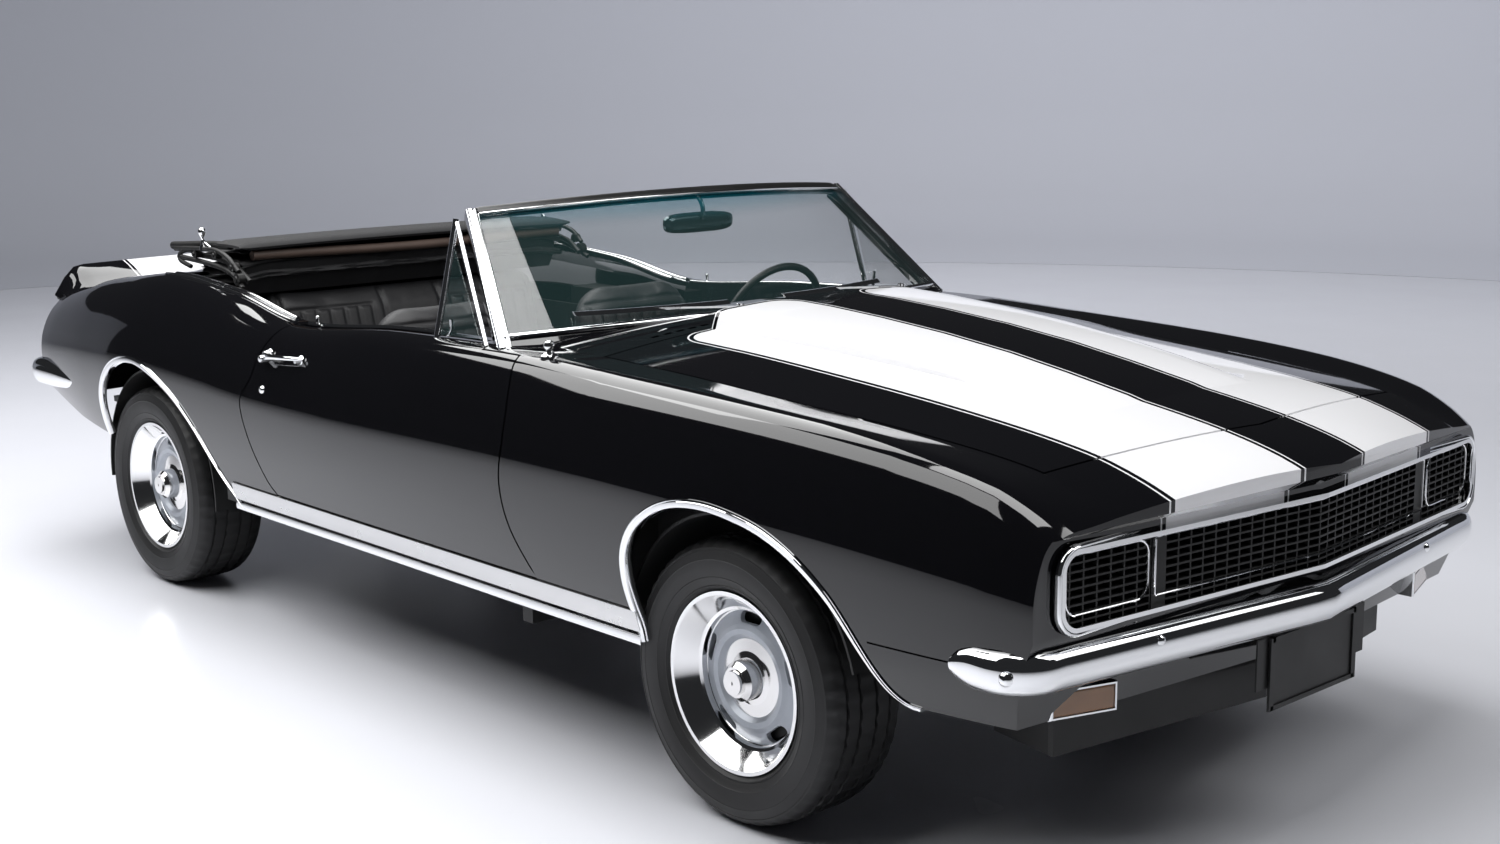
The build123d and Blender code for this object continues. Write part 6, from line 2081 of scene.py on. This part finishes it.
    def build(self, finishes: dict[str, Material], striped: Material) -> None:
        """Make the fittings."""
        chrome, amber, dark = finishes["chrome"], finishes["amber_lens"], finishes["chassis_black"]
        finish_piece("spoiler_blade", self.spoiler(), striped, "boot_lid", "rear_spoiler")
        lens, rim = self.park_lamp()
        finish_piece("park_lamp_lenses", both_sides(lens), amber, "car", "park_lamps")
        finish_piece("park_lamp_rims", both_sides(rim), chrome, "car", "park_lamps")
        finish_piece("plate_and_bracket", self.plate(), finishes["dash_black"], "car", None)
        for side in Side:
            for name, bm, stem in (("pull_handle", self.handle(), "door_handle"),
                                   ("lock_knob", self.door_knob(), None),
                                   ("vent_window_frame", self.vent(), "vent_frame")):
                shape = mirrored(bm) if side is Side.LEFT else bm
                node = f"{stem}_{side.label}" if stem else None
                finish_piece(f"{name}_{side.label}", shape, chrome, f"door_{side.label}", node)
        finish_piece("aerial_seat_and_jets", self.aerial_seat(), chrome, "car", None)
        walled = ((0.366, -0.835), (0.372, -0.835), (0.372, -0.560), (0.150, -0.552), (0.150, -0.558),
                  (0.366, -0.566))
        open_inside = ((0.366, -0.835), (0.372, -0.835), (0.372, -0.490), (0.366, -0.490))
        for name, axle, ends, profile in (("rear_wheel_houses", REAR_AXLE_X, (-4.0, 184.0), walled),
                                          ("front_wheel_houses", AXLE_X, (16.0, 176.0), open_inside)):
            houses = both_sides(self.wheel_house(axle, ends, profile))
            finish_piece(name, houses, dark, "car", None)
        mirror = finishes["mirror"]
        finish_piece("mirror_case", self.mirror_shell(), mirror, "car", "interior_mirror")


# ------------------------------------------------------------------ studio
@dataclass
class Studio:
    """A pale glossy floor and a grey wall, both with painted shade, soft lights and the camera."""

    camera_place: tuple[float, float, float] = (4.329202, -3.437330, 1.628408)
    yaw: float = 2.40309967
    pitch: float = -0.18727317
    roll: float = -0.00987668
    lens: float = 45.576
    wall_radius: float = 13.0
    wall_span: Point = (55.0, 200.0)
    wall_profile: tuple = ((0.0, 3.1), (0.0, 2.4), (0.25, 1.2), (0.9, 0.4), (1.8, 0.08), (2.8, 0.0))
    # Wall colours, darker then lighter: painted shade across the wall.
    wall_colours: tuple = ((0.42, 0.435, 0.49, 1), (0.52, 0.535, 0.60, 1))
    # Floor colours, near then far: the far one is darker as painted shade.
    floor_colours: tuple = ((0.80, 0.81, 0.86, 1), (0.60, 0.61, 0.67, 1))
    floor_near: float = 6.5
    air: float = 0.035
    boxes: tuple = (
        ("overhead_rear", (-3.2, 0.2, 5.0), (-3.1, 0.1, 0.0), 4.4, 4.6, 290.0),
        ("overhead_near", (1.7, -0.75, 5.0), (1.7, -0.85, 0.0), 3.4, 1.9, 130.0),
        ("front_box", (6.0, 3.5, 4.2), (0.5, 0.0, 0.5), 3.0, 2.0, 30.0),
        ("overhead_side", (-2.4, -3.75, 5.0), (-2.4, -3.6, 0.0), 8.4, 3.7, 400.0),
        ("front_fill", (4.4, 1.6, 4.6), (1.6, 0.3, 0.8), 2.4, 2.4, 75.0),
        ("wall_wash", (-4.0, 5.0, 5.6), (-9.0, 8.5, 1.5), 6.0, 2.0, 320.0),
        ("wall_wash_right", (3.0, 7.0, 5.6), (2.0, 12.0, 1.5), 6.0, 2.0, 300.0),
    )

    def build(self) -> None:
        """Set up the camera, the lights and the room."""
        self.camera()
        self.room()
        self.lights()

    def camera(self) -> None:
        """Place the camera and make it the scene's."""
        ahead = Vector((math.cos(self.yaw) * math.cos(self.pitch), math.sin(self.yaw) * math.cos(self.pitch),
                        math.sin(self.pitch)))
        level = Vector((math.sin(self.yaw), -math.cos(self.yaw), 0.0))
        upright = level.cross(ahead)
        right = level * math.cos(self.roll) + upright * math.sin(self.roll)
        up = -level * math.sin(self.roll) + upright * math.cos(self.roll)
        data = bpy.data.cameras.new("studio_camera")
        data.sensor_width = 36.0
        data.lens = self.lens
        data.clip_end = 200.0
        made = bpy.data.objects.new("studio_camera", data)
        bpy.context.scene.collection.objects.link(made)
        turn = Matrix((right, up, -ahead)).transposed().to_4x4()
        made.matrix_world = Matrix.Translation(Vector(self.camera_place)) @ turn
        bpy.context.scene.camera = made

    def room(self) -> None:
        """A pale floor with painted shade that darkens it away from the camera, and a wall behind the car
        with painted shade across it, that meets the floor in a soft cove.
        """
        shader = Shader("studio_floor")
        x, y, _ = shader.place()
        # Painted shade: the floor darkens away from the camera, towards the wall behind the car.
        shader.surface(Base_Color=shader.blend(shader.fade(y - x, 0.0, 13.0), *self.floor_colours),
                       Roughness=0.20 + 0.1 * shader.noise(0.8, 4.0), Coat_Weight=0.2, Coat_Roughness=0.05)
        slab = prism(self.floor_edge(), "Z", -0.02, -0.001)
        floor = as_object("studio_floor", to_mesh("studio_floor", slab), shader.material)
        wall_shader = Shader("studio_wall")
        x, y, _ = wall_shader.place()
        # Painted shade: the wall darkens towards its end behind the car's tail and lightens towards its end
        # ahead of the car's left side.
        side = wall_shader.fade(x + y, -9.0, 10.0)
        wall_shader.surface(Base_Color=wall_shader.blend(side, *self.wall_colours), Roughness=0.9)
        start, end = (math.radians(a) for a in self.wall_span)
        steps = 72

        def place(row: int, column: int) -> Place:
            turn = start + (end - start) * row / (steps - 1)
            inwards, height = self.wall_profile[column]
            radius = self.wall_radius - inwards
            return (radius * math.cos(turn), radius * math.sin(turn), height)

        bm = grid(steps, len(self.wall_profile), place)
        wall = as_object("studio_wall", to_mesh("studio_wall", bm), wall_shader.material)

    def floor_edge(self) -> list[Point]:
        """The floor seen from above; past its straight edge beside the car the room is dark."""
        far, near = 14.0, -self.floor_near
        return [(-far, near), (9.0, near), (far, 2.0), (far, far), (-far, far)]

    def lights(self) -> None:
        """Large soft boxes overhead and beside, in an otherwise dim room."""
        world = bpy.data.worlds.new("studio_air")
        bpy.context.scene.world = world
        world.use_nodes = True
        world.node_tree.nodes["Background"].inputs[0].default_value = (0.55, 0.57, 0.62, 1.0)
        world.node_tree.nodes["Background"].inputs[1].default_value = self.air
        for name, place, target, long, short, power in self.boxes:
            data = bpy.data.lights.new(name, "AREA")
            data.shape = "RECTANGLE"
            data.size, data.size_y, data.energy = long, short, power
            made = bpy.data.objects.new(name, data)
            bpy.context.scene.collection.objects.link(made)
            made.location = place
            made.rotation_euler = (Vector(target) - Vector(place)).to_track_quat("-Z", "Y").to_euler()
            made.visible_camera = False
        bpy.context.scene.view_settings.view_transform = "Standard"


def main() -> None:
    """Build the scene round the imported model."""
    logging.basicConfig(level=logging.INFO, format="%(name)s %(message)s")
    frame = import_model()
    Studio().build()
    form = BodyForm()
    black = StripedPaint("black_paint").make()
    striped = StripedPaint("striped_paint", True).make()
    finishes = {
        "black_paint": black,
        "chassis_black": Finish("chassis_black", grey(0.012), 0.55).make(),
        "cast_metal": Finish("cast_metal", grey(0.10), 0.55, 0.6, unevenness=0.3).make(),
        "chrome": Chrome("chrome").make(),
        "wheel_silver": WheelFinish("wheel_finish").make(),
        "tyre": Rubber("tyre_rubber").make(),
        "glass": TintedGlass("green_glass", 1.20, 1.27).make(),
        "black_vinyl": Vinyl("black_vinyl").make(),
        "dash_black": Finish("dash_black", grey(0.006), 0.46).make(),
        "top_fabric": Canvas("top_canvas").make(),
        "red_lens": Finish("red_lens", (0.20, 0.004, 0.006, 1), 0.08, 0.0, 1.0).make(),
        "amber_lens": Finish("amber_lens", (0.22, 0.10, 0.035, 1), 0.12, 0.0, 1.0, unevenness=0.3).make(),
        "brown_pad": Finish("brown_pad", (0.11, 0.075, 0.06, 1), 0.6, unevenness=0.3).make(),
        "mirror": Finish("mirror_case", (0.05, 0.10, 0.11, 1), 0.12, 0.6, 0.5).make(),
        "grille_black": Finish("grille_black", grey(0.004), 0.5).make(),
        "steel_grey": Finish("steel_grey", grey(0.30), 0.4, 0.9).make(),
    }
    for part in frame["record"]["subparts"]:
        node = frame["nodes"][part["node"]]
        node.data.materials.clear()
        dark = part["node"] in ("grille", "headlamp_covers", "front_spoiler")
        node.data.materials.append(finishes["grille_black" if dark else part["material_slot"]])
    panels = Panels(form)
    panels.build(black, striped)
    satin = Finish("satin_aluminium", grey(0.62), 0.26, 1.0, unevenness=0.04).make()
    header = Finish("header_trim", grey(0.015), 0.30, unevenness=0.2).make()
    Mouldings(form, panels).build(finishes["chrome"], satin)
    Windscreen().build(finishes["chrome"], black, header, finishes["glass"])
    Tyres().build(finishes["tyre"])
    Bumpers().build(finishes["chrome"])
    Upholstery().build(finishes["black_vinyl"], finishes["chassis_black"])
    FoldedTop().build(finishes["top_fabric"], finishes["dash_black"], finishes["brown_pad"],
                      finishes["chrome"], finishes["black_vinyl"])
    Fittings(form).build(finishes, striped)


if __name__ == "__main__":
    main()
